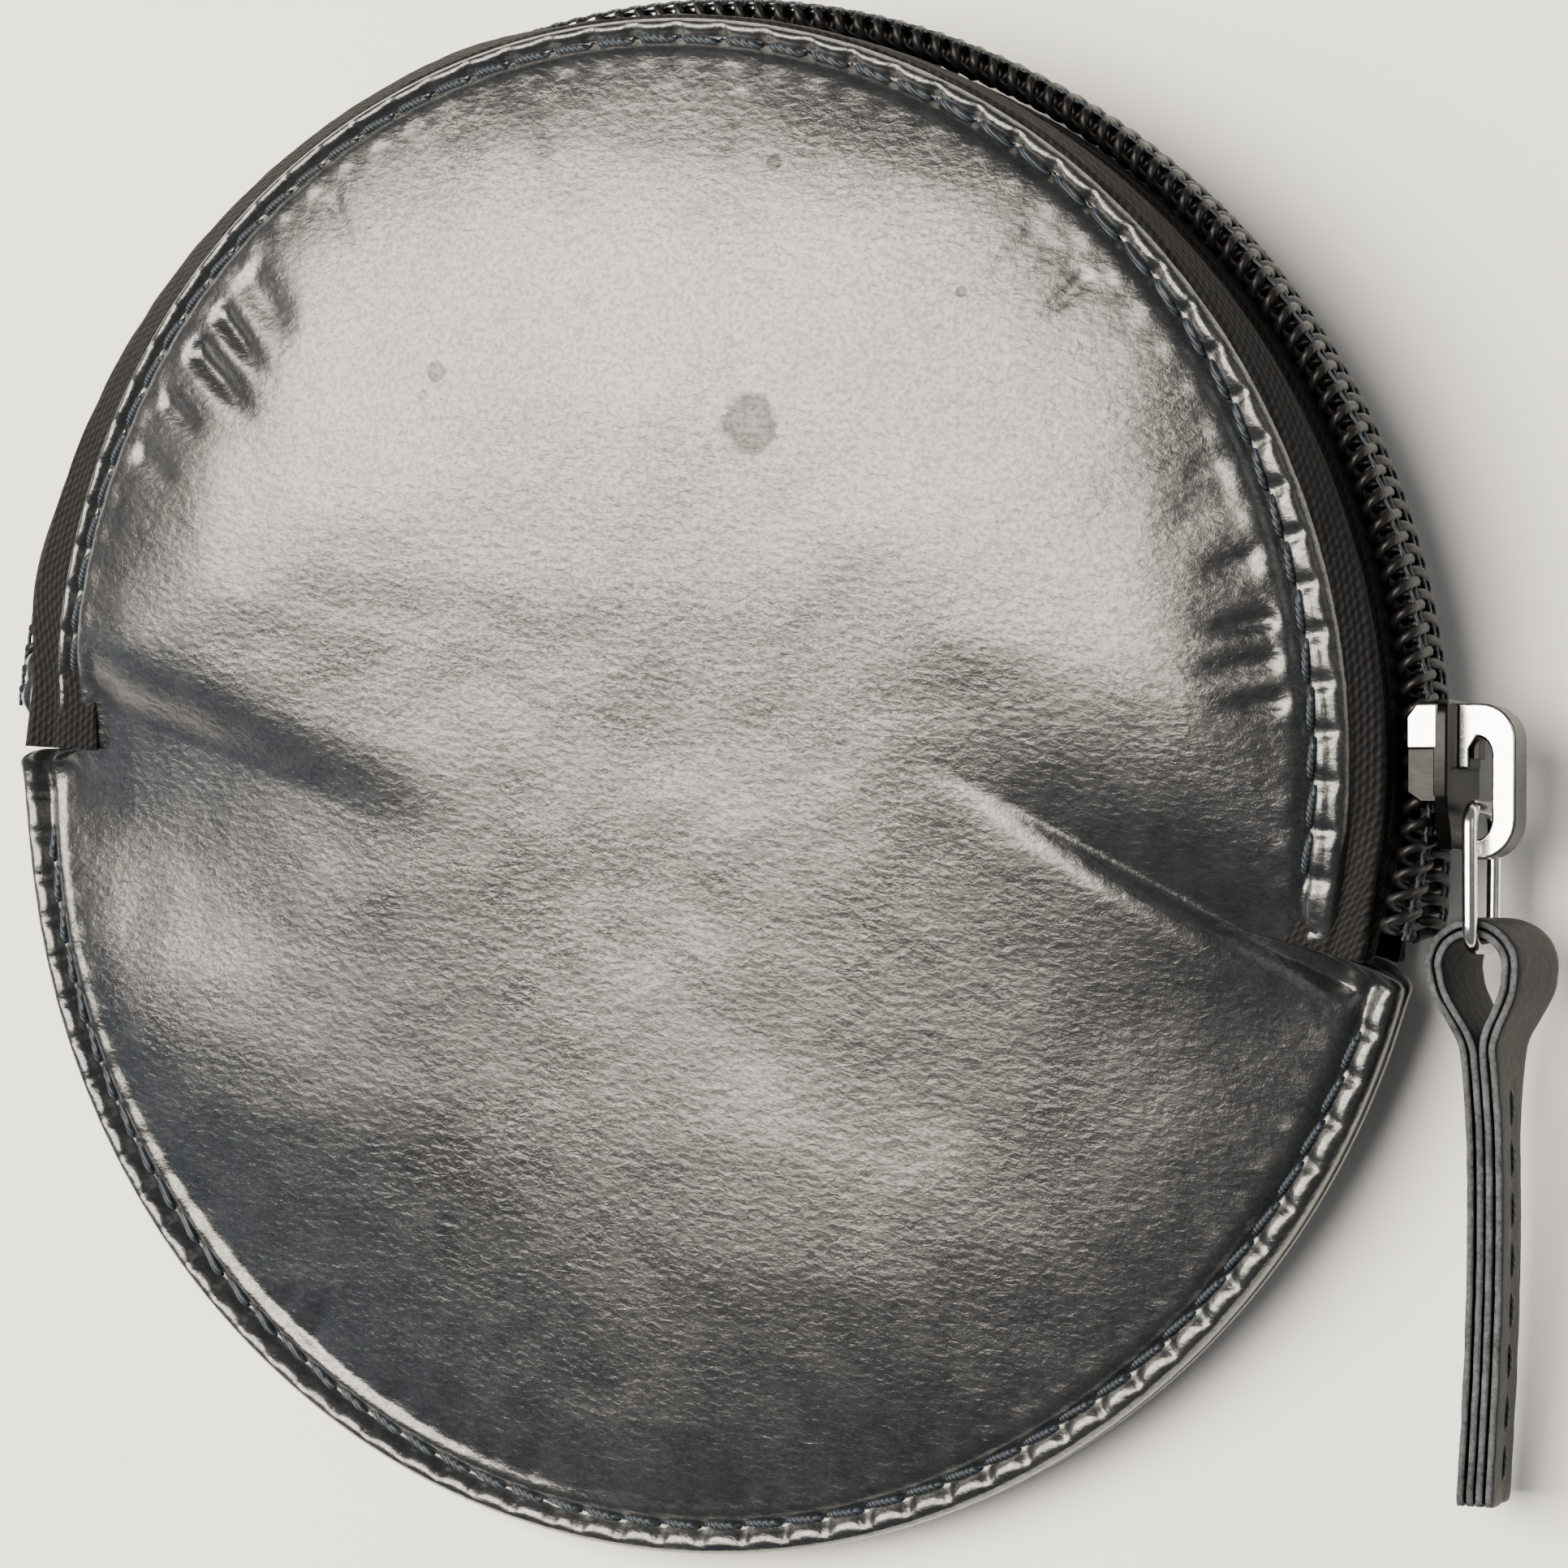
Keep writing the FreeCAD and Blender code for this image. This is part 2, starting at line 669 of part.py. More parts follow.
def make_lock_spring():
    """Thin leaf inside the crown."""
    body = doc.addObject("PartDesign::Body", "lock_spring_body")
    sketch = new_sketch(body, "leaf_profile", "XY_Plane")
    low_level = "sizes.top_plate_out + sizes.leaf_level"
    high_level = f"{low_level} + sizes.leaf"
    start = "sizes.leaf_start"
    end = "sizes.crown_high - sizes.leaf_margin"
    corners = [(low_level, start), (high_level, start), (high_level, end), (low_level, end)]
    closed_outline(sketch, corners)
    padded(body, "leaf_pad", sketch, "sizes.crown_width - 1.2", symmetric=True)
    finish_part(body, "slider_lock_spring", LIE.multiply(ON_SLIDER))


# ---------------------------------------------------------------- pull


def make_link():
    """Round wire ring: a rounded rectangle in the plane through the chain's axis direction."""
    body = doc.addObject("PartDesign::Body", "pull_link_body")
    path = new_sketch(body, "link_path", "YZ_Plane", "sizes.link_ring")
    top = "sizes.link_top"
    low = "sizes.link_top - sizes.link_length"
    half = "sizes.link_width / 2"
    bend = "sizes.link_corner"
    corners = [
        (f"{top} - {bend}", half),
        (f"{low} + {bend}", half),
        (low, f"{half} - {bend}"),
        (low, f"-({half}) + {bend}"),
        (f"{low} + {bend}", f"-({half})"),
        (f"{top} - {bend}", f"-({half})"),
        (top, f"-({half}) + {bend}"),
        (top, f"{half} - {bend}"),
    ]
    bows = {1: (bend, 1), 3: (bend, 1), 5: (bend, 1), 7: (bend, 1)}
    closed_outline(path, corners, bows)
    wire = new_sketch(body, "wire_section", "XZ_Plane", "-(sizes.link_top - sizes.link_length / 2)")
    centre = Vector(size("link_ring"), size("link_width") / 2, 0)
    ring = wire.addGeometry(Part.Circle(centre, Z_AXIS, size("wire") / 2))
    bound(wire, ("DistanceX", -1, 1, ring, 3), "sizes.link_ring")
    bound(wire, ("DistanceY", -1, 1, ring, 3), "sizes.link_width / 2")
    wire.addConstraint(Sketcher.Constraint("Radius", ring, size("wire") / 2))
    wire.setExpression("Constraints[2]", "sizes.wire / 2")
    doc.recompute()
    pipe = body.newObject("PartDesign::AdditivePipe", "link_pipe")
    pipe.Profile = wire
    pipe.Spine = (path, [])
    pipe.Transition = "Transformed"
    doc.recompute()
    finish_part(body, "pull_link", LIE.multiply(ON_SLIDER))


def fold_corners(outer_radius, outer_half, inner_radius, inner_half):
    """Outline of one leather ply folded round the link's bar, open at its tip."""
    neck = "sizes.strap_neck"
    tip = "sizes.strap_length"
    outer_y = f"0.2 * ({outer_radius})"
    inner_y = f"0.2 * ({inner_radius})"
    outer_x = on_circle(outer_radius, outer_y)
    inner_x = on_circle(inner_radius, inner_y)
    return [
        (outer_half, f"-({tip})"),
        (outer_half, f"-({neck})"),
        (outer_x, outer_y),
        (f"-({outer_x})", outer_y),
        (f"-({outer_half})", f"-({neck})"),
        (f"-({outer_half})", f"-({tip})"),
        (f"-({inner_half})", f"-({tip})"),
        (f"-({inner_half})", f"-({neck})"),
        (f"-({inner_x})", inner_y),
        (inner_x, inner_y),
        (inner_half, f"-({neck})"),
        (inner_half, f"-({tip})"),
    ]


def strap_placement():
    """The strap's fold is centred just below the middle of the link's lower bar."""
    low = size("link_top") - size("link_length") - size("strap_loop") + size("wire") / 2 + 0.15
    at_bar = FreeCAD.Placement(Vector(size("link_ring"), low, 0), FreeCAD.Rotation())
    return LIE.multiply(ON_SLIDER).multiply(at_bar)


def make_strap_ply(label, outer_radius, outer_half, inner_radius, inner_half):
    body = doc.addObject("PartDesign::Body", f"{label}_body")
    sketch = new_sketch(body, f"{label}_profile", "XY_Plane")
    corners = fold_corners(outer_radius, outer_half, inner_radius, inner_half)
    closed_outline(sketch, corners, {2: (outer_radius, 1), 8: (inner_radius, -1)})
    padded(body, f"{label}_pad", sketch, "sizes.strap_width", symmetric=True)
    finish_part(body, label, strap_placement())


def make_strap():
    ply = "sizes.strap_ply"
    gap = "sizes.ply_gap"
    make_strap_ply(
        "strap_outer_leather",
        f"sizes.strap_loop + 2 * {ply} + {gap}",
        f"2 * {ply} + 2 * {gap}",
        f"sizes.strap_loop + {ply} + {gap}",
        f"{ply} + 2 * {gap}",
    )
    make_strap_ply(
        "strap_inner_leather", f"sizes.strap_loop + {ply}", f"{ply} + {gap}", "sizes.strap_loop", gap
    )
    face = 2 * size("strap_ply") + 3 * size("ply_gap") + size("thread") / 2
    solids = []
    place = size("strap_stitch_start")
    while place < size("strap_length") - size("stitch_pitch"):
        for side in (-1, 1):
            start = Vector(side * face, -place - size("stitch_length"), 0)
            along = Vector(0, 1, 0)
            solids.append(Part.makeCylinder(size("thread") / 2, size("stitch_length"), start, along))
        place += size("stitch_pitch")
    thread = doc.addObject("Part::Feature", "strap_thread_row")
    thread.Shape = Part.makeCompound(solids)
    finish_part(thread, "strap_thread", strap_placement())


# ---------------------------------------------------------------- build, check, write


def check_document():
    for item in doc.Objects:
        if {"Invalid", "Error"} & set(item.State):
            raise RuntimeError(f"{item.Name} failed: {item.State}")
    for item in parts:
        if item.Shape.isNull() or not item.Shape.isValid() or not item.Shape.Solids:
            raise RuntimeError(f"{item.Label} has no valid solid")


def main():
    make_panels()
    make_chain()
    make_bottom_stop()
    make_stitches()
    make_slider_body()
    make_crown()
    make_lock_spring()
    make_link()
    make_strap()
    doc.recompute()
    check_document()
    os.makedirs("parts", exist_ok=True)
    for item in parts:
        item.Shape.exportStep(f"parts/{item.Label}.step")
        box = item.Shape.BoundBox
        spans = [(box.XMin, box.XMax), (box.YMin, box.YMax), (box.ZMin, box.ZMax)]
        print(item.Label, len(item.Shape.Solids), round(item.Shape.Volume, 1), spans)


main()
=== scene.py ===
import json
import math

import bmesh
import bpy
import numpy as np
from mathutils import Matrix, Vector, noise


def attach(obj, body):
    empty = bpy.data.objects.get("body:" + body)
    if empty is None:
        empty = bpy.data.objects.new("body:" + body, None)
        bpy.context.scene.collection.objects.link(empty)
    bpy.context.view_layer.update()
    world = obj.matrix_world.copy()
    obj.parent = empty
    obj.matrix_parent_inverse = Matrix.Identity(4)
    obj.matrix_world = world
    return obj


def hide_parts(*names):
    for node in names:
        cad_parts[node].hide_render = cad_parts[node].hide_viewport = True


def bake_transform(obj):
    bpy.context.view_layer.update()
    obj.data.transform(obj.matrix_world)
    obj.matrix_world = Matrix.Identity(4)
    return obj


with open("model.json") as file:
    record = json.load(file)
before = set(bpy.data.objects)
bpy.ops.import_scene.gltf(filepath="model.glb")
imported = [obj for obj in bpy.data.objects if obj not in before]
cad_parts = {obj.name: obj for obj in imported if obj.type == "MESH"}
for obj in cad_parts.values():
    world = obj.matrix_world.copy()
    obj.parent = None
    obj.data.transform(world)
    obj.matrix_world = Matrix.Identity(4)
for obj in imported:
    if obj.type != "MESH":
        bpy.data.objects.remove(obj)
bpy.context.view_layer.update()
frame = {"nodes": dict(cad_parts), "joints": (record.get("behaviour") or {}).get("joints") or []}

MM = 0.001
PER_MM = 1.0 / MM
RNG = np.random.default_rng(11)
JOINTS = {joint["name"]: joint for joint in frame["joints"]}

# ---------------------------------------------------------------- camera

SENSOR_WIDTH = 36.0
FOCAL_IN_FRAME_WIDTHS = 5000.0 / 1932.0
CAMERA_TARGET = Vector((3.9, 1.05, 0.0)) * MM
CAMERA_DISTANCE = 269.1 * MM
CAMERA_AZIMUTH = 82.94
CAMERA_ELEVATION = 65.90
CAMERA_ROLL = -73.56


def make_camera():
    azimuth = math.radians(CAMERA_AZIMUTH)
    elevation = math.radians(CAMERA_ELEVATION)
    back = Vector((
        math.sin(azimuth) * math.cos(elevation),
        -math.cos(azimuth) * math.cos(elevation),
        math.sin(elevation),
    ))
    level_right = Vector((0, 0, 1)).cross(back).normalized()
    level_up = back.cross(level_right)
    roll = math.radians(CAMERA_ROLL)
    right = level_right * math.cos(roll) + level_up * math.sin(roll)
    up = back.cross(right)
    data = bpy.data.cameras.new("camera")
    data.sensor_width = SENSOR_WIDTH
    data.lens = SENSOR_WIDTH * FOCAL_IN_FRAME_WIDTHS
    data.clip_start = 0.01
    camera = bpy.data.objects.new("camera", data)
    bpy.context.scene.collection.objects.link(camera)
    turn = Matrix((right, up, back)).transposed().to_4x4()
    camera.matrix_world = Matrix.Translation(CAMERA_TARGET + back * CAMERA_DISTANCE) @ turn
    bpy.context.scene.camera = camera


# ---------------------------------------------------------------- the seam frame
# Sizes below are in millimetres in the seam frame: the disc's axis is Z, the closed zip and the lower
# seam lie in Z = 0. The slider's joint turns about that axis, so it gives the frame's place in the row.

TRACK = JOINTS["slider_track"]
LIE_SLOPE = -TRACK["axis"][1] / TRACK["axis"][2]
LIE_ANGLE = math.atan(LIE_SLOPE)
LIE_HEIGHT = TRACK["pos_m"][2] / MM
LIE = Matrix.Translation((0, 0, LIE_HEIGHT)) @ Matrix.Rotation(LIE_ANGLE, 4, "X")

DISC_RADIUS = 50.0
MOUTH_RADIUS = 46.05
MOUTH_CENTRE_Y = 1.6
RIM_Z = 5.0
RIM_SLOPE = 0.114
NOTCH_Y = -4.7
LEATHER = 1.1
LINING = 0.4
SEAM_HALF = LEATHER + LINING
BELLY = 5.1
BELLY_SHOULDER = 0.85
SEAM_MARGIN = 1.6
MOUTH_MARGIN = 1.2
STITCH_PITCH = 3.0
THREAD = 0.5
COIL_RADIUS = 49.2
SLIDER_ANGLE = 8.1
FLOOR_CLEARANCE = 0.05
PRESS_SOFTNESS = 0.5
LINING_INSET = 3.9


def to_row(points):
    """Seam frame in mm to row frame in metres, for an (n, 3) array."""
    matrix = np.array(LIE)
    return (np.asarray(points, float) @ matrix[:3, :3].T + matrix[:3, 3]) * MM


def rotated_z(points, degrees):
    angle = math.radians(degrees)
    turn = np.array([
        [math.cos(angle), -math.sin(angle), 0],
        [math.sin(angle), math.cos(angle), 0],
        [0, 0, 1],
    ])
    return np.asarray(points, float) @ turn.T


# ---------------------------------------------------------------- mesh helpers


def new_piece(name, points, faces, material, uvs=None):
    """Mesh object from seam-frame points; uvs is one (u, v) pair per point."""
    mesh = bpy.data.meshes.new(name)
    mesh.from_pydata(to_row(points).tolist(), [], faces)
    mesh.validate()
    mesh.update()
    mesh.polygons.foreach_set("use_smooth", [True] * len(mesh.polygons))
    if uvs is not None:
        layer = mesh.uv_layers.new(name="UVMap")
        corners = np.zeros(len(mesh.loops), int)
        mesh.loops.foreach_get("vertex_index", corners)
        layer.data.foreach_set("uv", np.asarray(uvs, float)[corners].ravel())
    mesh.materials.append(material)
    piece = bpy.data.objects.new(name, mesh)
    bpy.context.scene.collection.objects.link(piece)
    return piece


def grid_faces(rows, columns, closed_columns=False, closed_rows=False, start=0, flip=False):
    """Quads of a rows by columns grid of points stored row by row."""
    faces = []
    for row in range(rows if closed_rows else rows - 1):
        next_row = (row + 1) % rows
        for column in range(columns if closed_columns else columns - 1):
            next_column = (column + 1) % columns
            quad = (
                start + row * columns + column,
                start + row * columns + next_column,
                start + next_row * columns + next_column,
                start + next_row * columns + column,
            )
            faces.append(quad[::-1] if flip else quad)
    return faces


def end_caps(rows, columns):
    """Polygons that close the first and the last ring of a swept grid."""
    return [tuple(range(columns))[::-1], tuple(range((rows - 1) * columns, rows * columns))]


def swept_tube(path, radius_across, radius_up, up_hints, sides, closed=False):
    """Points and faces of an oval tube along a path; up_hints gives its upward direction at each point."""
    path = np.asarray(path, float)
    count = len(path)
    if closed:
        tangent = np.roll(path, -1, axis=0) - np.roll(path, 1, axis=0)
    else:
        tangent = np.gradient(path, axis=0)
    tangent /= np.linalg.norm(tangent, axis=1, keepdims=True)
    side = np.cross(tangent, up_hints)
    side /= np.linalg.norm(side, axis=1, keepdims=True)
    up = np.cross(side, tangent)
    radius_across = np.broadcast_to(radius_across, count)
    radius_up = np.broadcast_to(radius_up, count)
    turn = np.linspace(0, 2 * math.pi, sides, endpoint=False)
    points = (
        path[:, None, :]
        + side[:, None, :] * (np.cos(turn)[None, :] * radius_across[:, None])[..., None]
        + up[:, None, :] * (np.sin(turn)[None, :] * radius_up[:, None])[..., None]
    ).reshape(-1, 3)
    faces = grid_faces(count, sides, closed_columns=True, closed_rows=closed)
    if not closed:
        faces += end_caps(count, sides)
    return points, faces


class MeshParts:
    """Several separate closed shapes gathered into one mesh."""

    def __init__(self):
        self.points = []
        self.faces = []
        self.count = 0

    def add(self, points, faces):
        self.points.append(np.asarray(points, float))
        self.faces.extend(tuple(index + self.count for index in face) for face in faces)
        self.count += len(points)

    def piece(self, name, material):
        return new_piece(name, np.concatenate(self.points), self.faces, material)


def bevelled(piece, width, segments=3, angle=35.0):
    modifier = piece.modifiers.new("bevel", "BEVEL")
    modifier.width = width * MM
    modifier.segments = segments
    modifier.limit_method = "ANGLE"
    modifier.angle_limit = math.radians(angle)
    modifier.harden_normals = True
    return piece


# ---------------------------------------------------------------- material helpers


class Nodes:
    """Short way to build a procedural material."""

    def __init__(self, name):
        self.material = bpy.data.materials.new(name)
        self.material.use_nodes = True
        self.tree = self.material.node_tree
        self.shader = self.tree.nodes["Principled BSDF"]

    def add(self, kind, **inputs):
        node = self.tree.nodes.new(kind)
        for key, value in inputs.items():
            node.inputs[key.replace("_", " ")].default_value = value
        return node

    def link(self, source, target):
        self.tree.links.new(source, target)

    def feed(self, socket, value):
        """Drive one of the shader's sockets."""
        self.link(value, self.shader.inputs[socket])

    def coordinates(self, scale, kind="Object", rotation=(0, 0, 0)):
        coordinate = self.add("ShaderNodeTexCoord")
        mapping = self.add("ShaderNodeMapping")
        mapping.inputs["Scale"].default_value = scale
        mapping.inputs["Rotation"].default_value = rotation
        self.link(coordinate.outputs[kind], mapping.inputs["Vector"])
        return mapping.outputs["Vector"]

    def millimetres(self):
        return self.coordinates((PER_MM, PER_MM, PER_MM))

    def noise(self, vector, scale, detail=4.0, roughness=0.5, distortion=0.0):
        node = self.add(
            "ShaderNodeTexNoise", Scale=scale, Detail=detail, Roughness=roughness, Distortion=distortion
        )
        self.link(vector, node.inputs["Vector"])
        return node.outputs["Fac"]

    def ramp(self, value, stops):
        node = self.add("ShaderNodeValToRGB")
        self.link(value, node.inputs["Fac"])
        elements = node.color_ramp.elements
        while len(elements) < len(stops):
            elements.new(0.5)
        for element, (place, colour) in zip(elements, stops):
            element.position = place
            element.color = (*colour, 1.0)
        return node.outputs["Color"]

    def grey_ramp(self, value, stops):
        return self.ramp(value, [(place, (level, level, level)) for place, level in stops])

    def math(self, operation, first, second):
        node = self.add("ShaderNodeMath")
        node.operation = operation
        for socket, value in zip(node.inputs, (first, second)):
            if isinstance(value, (int, float)):
                socket.default_value = value
            else:
                self.link(value, socket)
        return node.outputs["Value"]

    def mix_colour(self, factor, first, second):
        node = self.add("ShaderNodeMix")
        node.data_type = "RGBA"
        self.link(factor, node.inputs["Factor"])
        for socket, value in ((node.inputs[6], first), (node.inputs[7], second)):
            if isinstance(value, tuple):
                socket.default_value = (*value, 1.0)
            else:
                self.link(value, socket)
        return node.outputs[2]

    def bump(self, height, distance_mm, base=None):
        node = self.add("ShaderNodeBump", Strength=1.0, Distance=distance_mm * MM)
        self.link(height, node.inputs["Height"])
        if base is not None:
            self.link(base, node.inputs["Normal"])
        return node.outputs["Normal"]

    def set(self, **values):
        for key, value in values.items():
            self.shader.inputs[key.replace("_", " ")].default_value = value


def stain_mask(nodes, marks):
    """Dull spots on the panel: each mark is (x, y, radius, strength) in mm seen from above."""
    flat = nodes.coordinates((PER_MM, PER_MM, 0.0))
    wobble = nodes.noise(flat, 0.9, detail=3.0)
    total = None
    for x, y, radius, strength in marks:
        distance = nodes.add("ShaderNodeVectorMath")
        distance.operation = "DISTANCE"
        nodes.link(flat, distance.inputs[0])
        distance.inputs[1].default_value = (x, y, 0.0)
        ragged = nodes.math("ADD", distance.outputs["Value"], nodes.math("MULTIPLY", wobble, 0.8 * radius))
        spot = nodes.grey_ramp(
            nodes.math("DIVIDE", ragged, 2.4 * radius), [(0.25, 0.7 * strength), (0.5, strength), (0.62, 0.0)]
        )
        total = spot if total is None else nodes.math("MAXIMUM", total, spot)
    return total


def leather_material(name, base, worn, roughness, grain_mm, grain_depth, specular, coat, marks=()):
    """Black calf leather: stretched wrinkled grain, cloudy polish, faint wear."""
    nodes = Nodes(name)
    plain = nodes.millimetres()
    along = nodes.coordinates((0.55 * PER_MM, PER_MM, PER_MM), rotation=(0, 0, math.radians(8)))
    cloud = nodes.noise(plain, 0.07, detail=3.0, roughness=0.6)
    patch = nodes.noise(plain, 0.45, detail=4.0, roughness=0.65)
    grain = nodes.noise(along, 1.0 / grain_mm, detail=3.0, roughness=0.55, distortion=0.6)
    pores = nodes.noise(plain, 3.2 / grain_mm, detail=2.0)
    cells = nodes.add("ShaderNodeTexVoronoi", Scale=0.8 / grain_mm)
    nodes.link(along, cells.inputs["Vector"])
    colour = nodes.mix_colour(nodes.grey_ramp(patch, [(0.35, 0.0), (0.75, 1.0)]), base, worn)
    nodes.feed("Base Color", colour)
    low, high = roughness
    blend = nodes.math("ADD", nodes.math("MULTIPLY", cloud, 0.6), nodes.math("MULTIPLY", patch, 0.4))
    nodes.feed("Roughness", nodes.grey_ramp(blend, [(0.3, low), (0.7, high)]))
    if marks:
        stain = stain_mask(nodes, marks)
        specks = nodes.noise(plain, 3.2, detail=2.0, roughness=0.6)
        speckle = nodes.grey_ramp(specks, [(0.36, 0.62), (0.60, 1.0)])
        mottle = nodes.grey_ramp(cloud, [(0.3, 0.78), (0.7, 1.0)])
        polish = nodes.math("MULTIPLY", speckle, mottle)
        shine = nodes.math("ADD", nodes.math("MULTIPLY", stain, -0.75), specular)
        nodes.feed("Specular IOR Level", nodes.math("MULTIPLY", shine, polish))
        gloss = nodes.math("ADD", nodes.math("MULTIPLY", stain, -0.6), coat)
        nodes.feed("Coat Weight", nodes.math("MULTIPLY", gloss, polish))
    fine = nodes.bump(pores, grain_depth * 0.25)
    cell = nodes.bump(cells.outputs["Distance"], grain_depth * 0.5, base=fine)
    nodes.feed("Normal", nodes.bump(grain, grain_depth, base=cell))
    nodes.set(Specular_IOR_Level=specular, Coat_Weight=coat, Coat_Roughness=0.21)
    return nodes.material


def cut_edge_material():
    """Raw leather edge: packed fibres, matte."""
    nodes = Nodes("strap_cut_edge")
    fibres = nodes.coordinates((0.35 * PER_MM, 0.35 * PER_MM, 2.2 * PER_MM))
    plain = nodes.millimetres()
    streak = nodes.noise(fibres, 1.6, detail=5.0, roughness=0.7)
    speck = nodes.noise(plain, 3.0, detail=4.0, roughness=0.7)
    both = nodes.math("MULTIPLY", streak, speck)
    colour = nodes.ramp(both, [(0.14, (0.01, 0.011, 0.014)), (0.40, (0.09, 0.10, 0.115))])
    nodes.feed("Base Color", colour)
    nodes.feed("Normal", nodes.bump(both, 0.12))
    nodes.set(Roughness=0.72)
    return nodes.material


def suede_material():
    nodes = Nodes("lining_suede")
    plain = nodes.millimetres()
    nap = nodes.noise(plain, 5.0, detail=5.0, roughness=0.75)
    cloud = nodes.noise(plain, 0.12, detail=3.0)
    shade = nodes.math("MULTIPLY", nap, cloud)
    nodes.feed("Base Color", nodes.ramp(shade, [(0.1, (0.012, 0.012, 0.013)), (0.45, (0.055, 0.053, 0.052))]))
    nodes.feed("Normal", nodes.bump(nap, 0.06))
    nodes.set(Roughness=0.95, Sheen_Weight=0.3, Sheen_Roughness=0.5)
    return nodes.material


def weave_material():
    """Black zip tape: a fine twill in the tape's own directions, u along and v across, in mm."""
    nodes = Nodes("zip_tape_weave")
    across = nodes.coordinates((1.0, 1.0, 1.0), kind="UV")
    warp = nodes.add("ShaderNodeTexWave", Scale=0.75, Distortion=0.6, Detail=1.0)
    warp.bands_direction = "Y"
    twill = nodes.add("ShaderNodeTexWave", Scale=0.9, Distortion=0.9, Detail=1.0)
    twill.bands_direction = "DIAGONAL"
    nodes.link(across, warp.inputs["Vector"])
    nodes.link(across, twill.inputs["Vector"])
    speck = nodes.noise(across, 2.6, detail=3.0, roughness=0.8)
    cloth = nodes.math("MULTIPLY", nodes.math("ADD", warp.outputs["Fac"], twill.outputs["Fac"]), speck)
    colour = nodes.ramp(cloth, [(0.3, (0.002, 0.002, 0.002)), (1.0, (0.018, 0.018, 0.019))])
    nodes.feed("Base Color", colour)
    nodes.feed("Normal", nodes.bump(cloth, 0.09))
    nodes.set(Roughness=0.9, Specular_IOR_Level=0.25, Sheen_Weight=0.03, Sheen_Roughness=0.4)
    return nodes.material


def nylon_material():
    nodes = Nodes("coil_nylon")
    plain = nodes.millimetres()
    scuff = nodes.noise(plain, 2.0, detail=4.0, roughness=0.6)
    nodes.feed("Base Color", nodes.ramp(scuff, [(0.3, (0.003, 0.003, 0.003)), (0.8, (0.009, 0.009, 0.010))]))
    nodes.feed("Roughness", nodes.grey_ramp(scuff, [(0.3, 0.38), (0.7, 0.55)]))
    nodes.feed("Normal", nodes.bump(scuff, 0.01))
    nodes.set(Specular_IOR_Level=0.35)
    return nodes.material


def thread_material():
    """Waxed navy-black thread with a twist."""
    nodes = Nodes("thread")
    plain = nodes.millimetres()
    twist = nodes.add("ShaderNodeTexWave", Scale=1.3, Distortion=1.2, Detail=2.0)
    twist.bands_direction = "DIAGONAL"
    nodes.link(plain, twist.inputs["Vector"])
    colour = nodes.ramp(twist.outputs["Fac"], [(0.1, (0.004, 0.006, 0.011)), (0.9, (0.02, 0.032, 0.048))])
    nodes.feed("Base Color", colour)
    nodes.feed("Normal", nodes.bump(twist.outputs["Fac"], 0.06))
    nodes.set(Roughness=0.55)
    return nodes.material


def nickel_material(name, base, roughness):
    """Plated metal with hairline scratches and a little tarnish."""
    nodes = Nodes(name)
    plain = nodes.millimetres()
    hair = nodes.coordinates((0.4 * PER_MM, 3.0 * PER_MM, 0.6 * PER_MM), rotation=(0.3, 0.1, 0.5))
    scratch = nodes.noise(hair, 3.0, detail=5.0, roughness=0.7)
    tarnish = nodes.noise(plain, 0.8, detail=4.0, roughness=0.6)
    dull = tuple(value * 0.72 for value in base)
    colour = nodes.mix_colour(nodes.grey_ramp(tarnish, [(0.45, 0.0), (0.8, 1.0)]), base, dull)
    nodes.feed("Base Color", colour)
    low, high = roughness
    nodes.feed("Roughness", nodes.grey_ramp(scratch, [(0.3, low), (0.75, high)]))
    nodes.feed("Normal", nodes.bump(scratch, 0.004))
    nodes.set(Metallic=1.0)
    return nodes.material


def enamel_material():
    nodes = Nodes("stop_enamel")
    plain = nodes.millimetres()
    wear = nodes.noise(plain, 1.4, detail=4.0, roughness=0.6)
    nodes.feed("Base Color", nodes.ramp(wear, [(0.4, (0.008, 0.010, 0.014)), (0.85, (0.04, 0.045, 0.055))]))
    nodes.feed("Roughness", nodes.grey_ramp(wear, [(0.3, 0.08), (0.8, 0.22)]))
    nodes.feed("Normal", nodes.bump(wear, 0.01))
    nodes.set(Coat_Weight=0.6, Coat_Roughness=0.05)
    return nodes.material


def floor_material():
    nodes = Nodes("floor")
    plain = nodes.coordinates((1.0, 1.0, 1.0))
    tone = nodes.noise(plain, 6.0, detail=3.0)
    nodes.feed("Base Color", nodes.ramp(tone, [(0.3, (0.86, 0.86, 0.86)), (0.7, (0.9, 0.9, 0.89))]))
    nodes.set(Roughness=0.9, Specular_IOR_Level=0.1)
    return nodes.material


# dull marks on the front panel: x, y, radius, strength
PANEL_MARKS = (
    (6.8, 21.5, 1.9, 0.75),
    (6.0, 37.6, 0.55, 0.8),
    (-15.7, 22.6, 0.7, 0.7),
    (19.3, 30.9, 0.4, 0.8),
    (-16.5, 21.0, 0.4, 0.5),
)

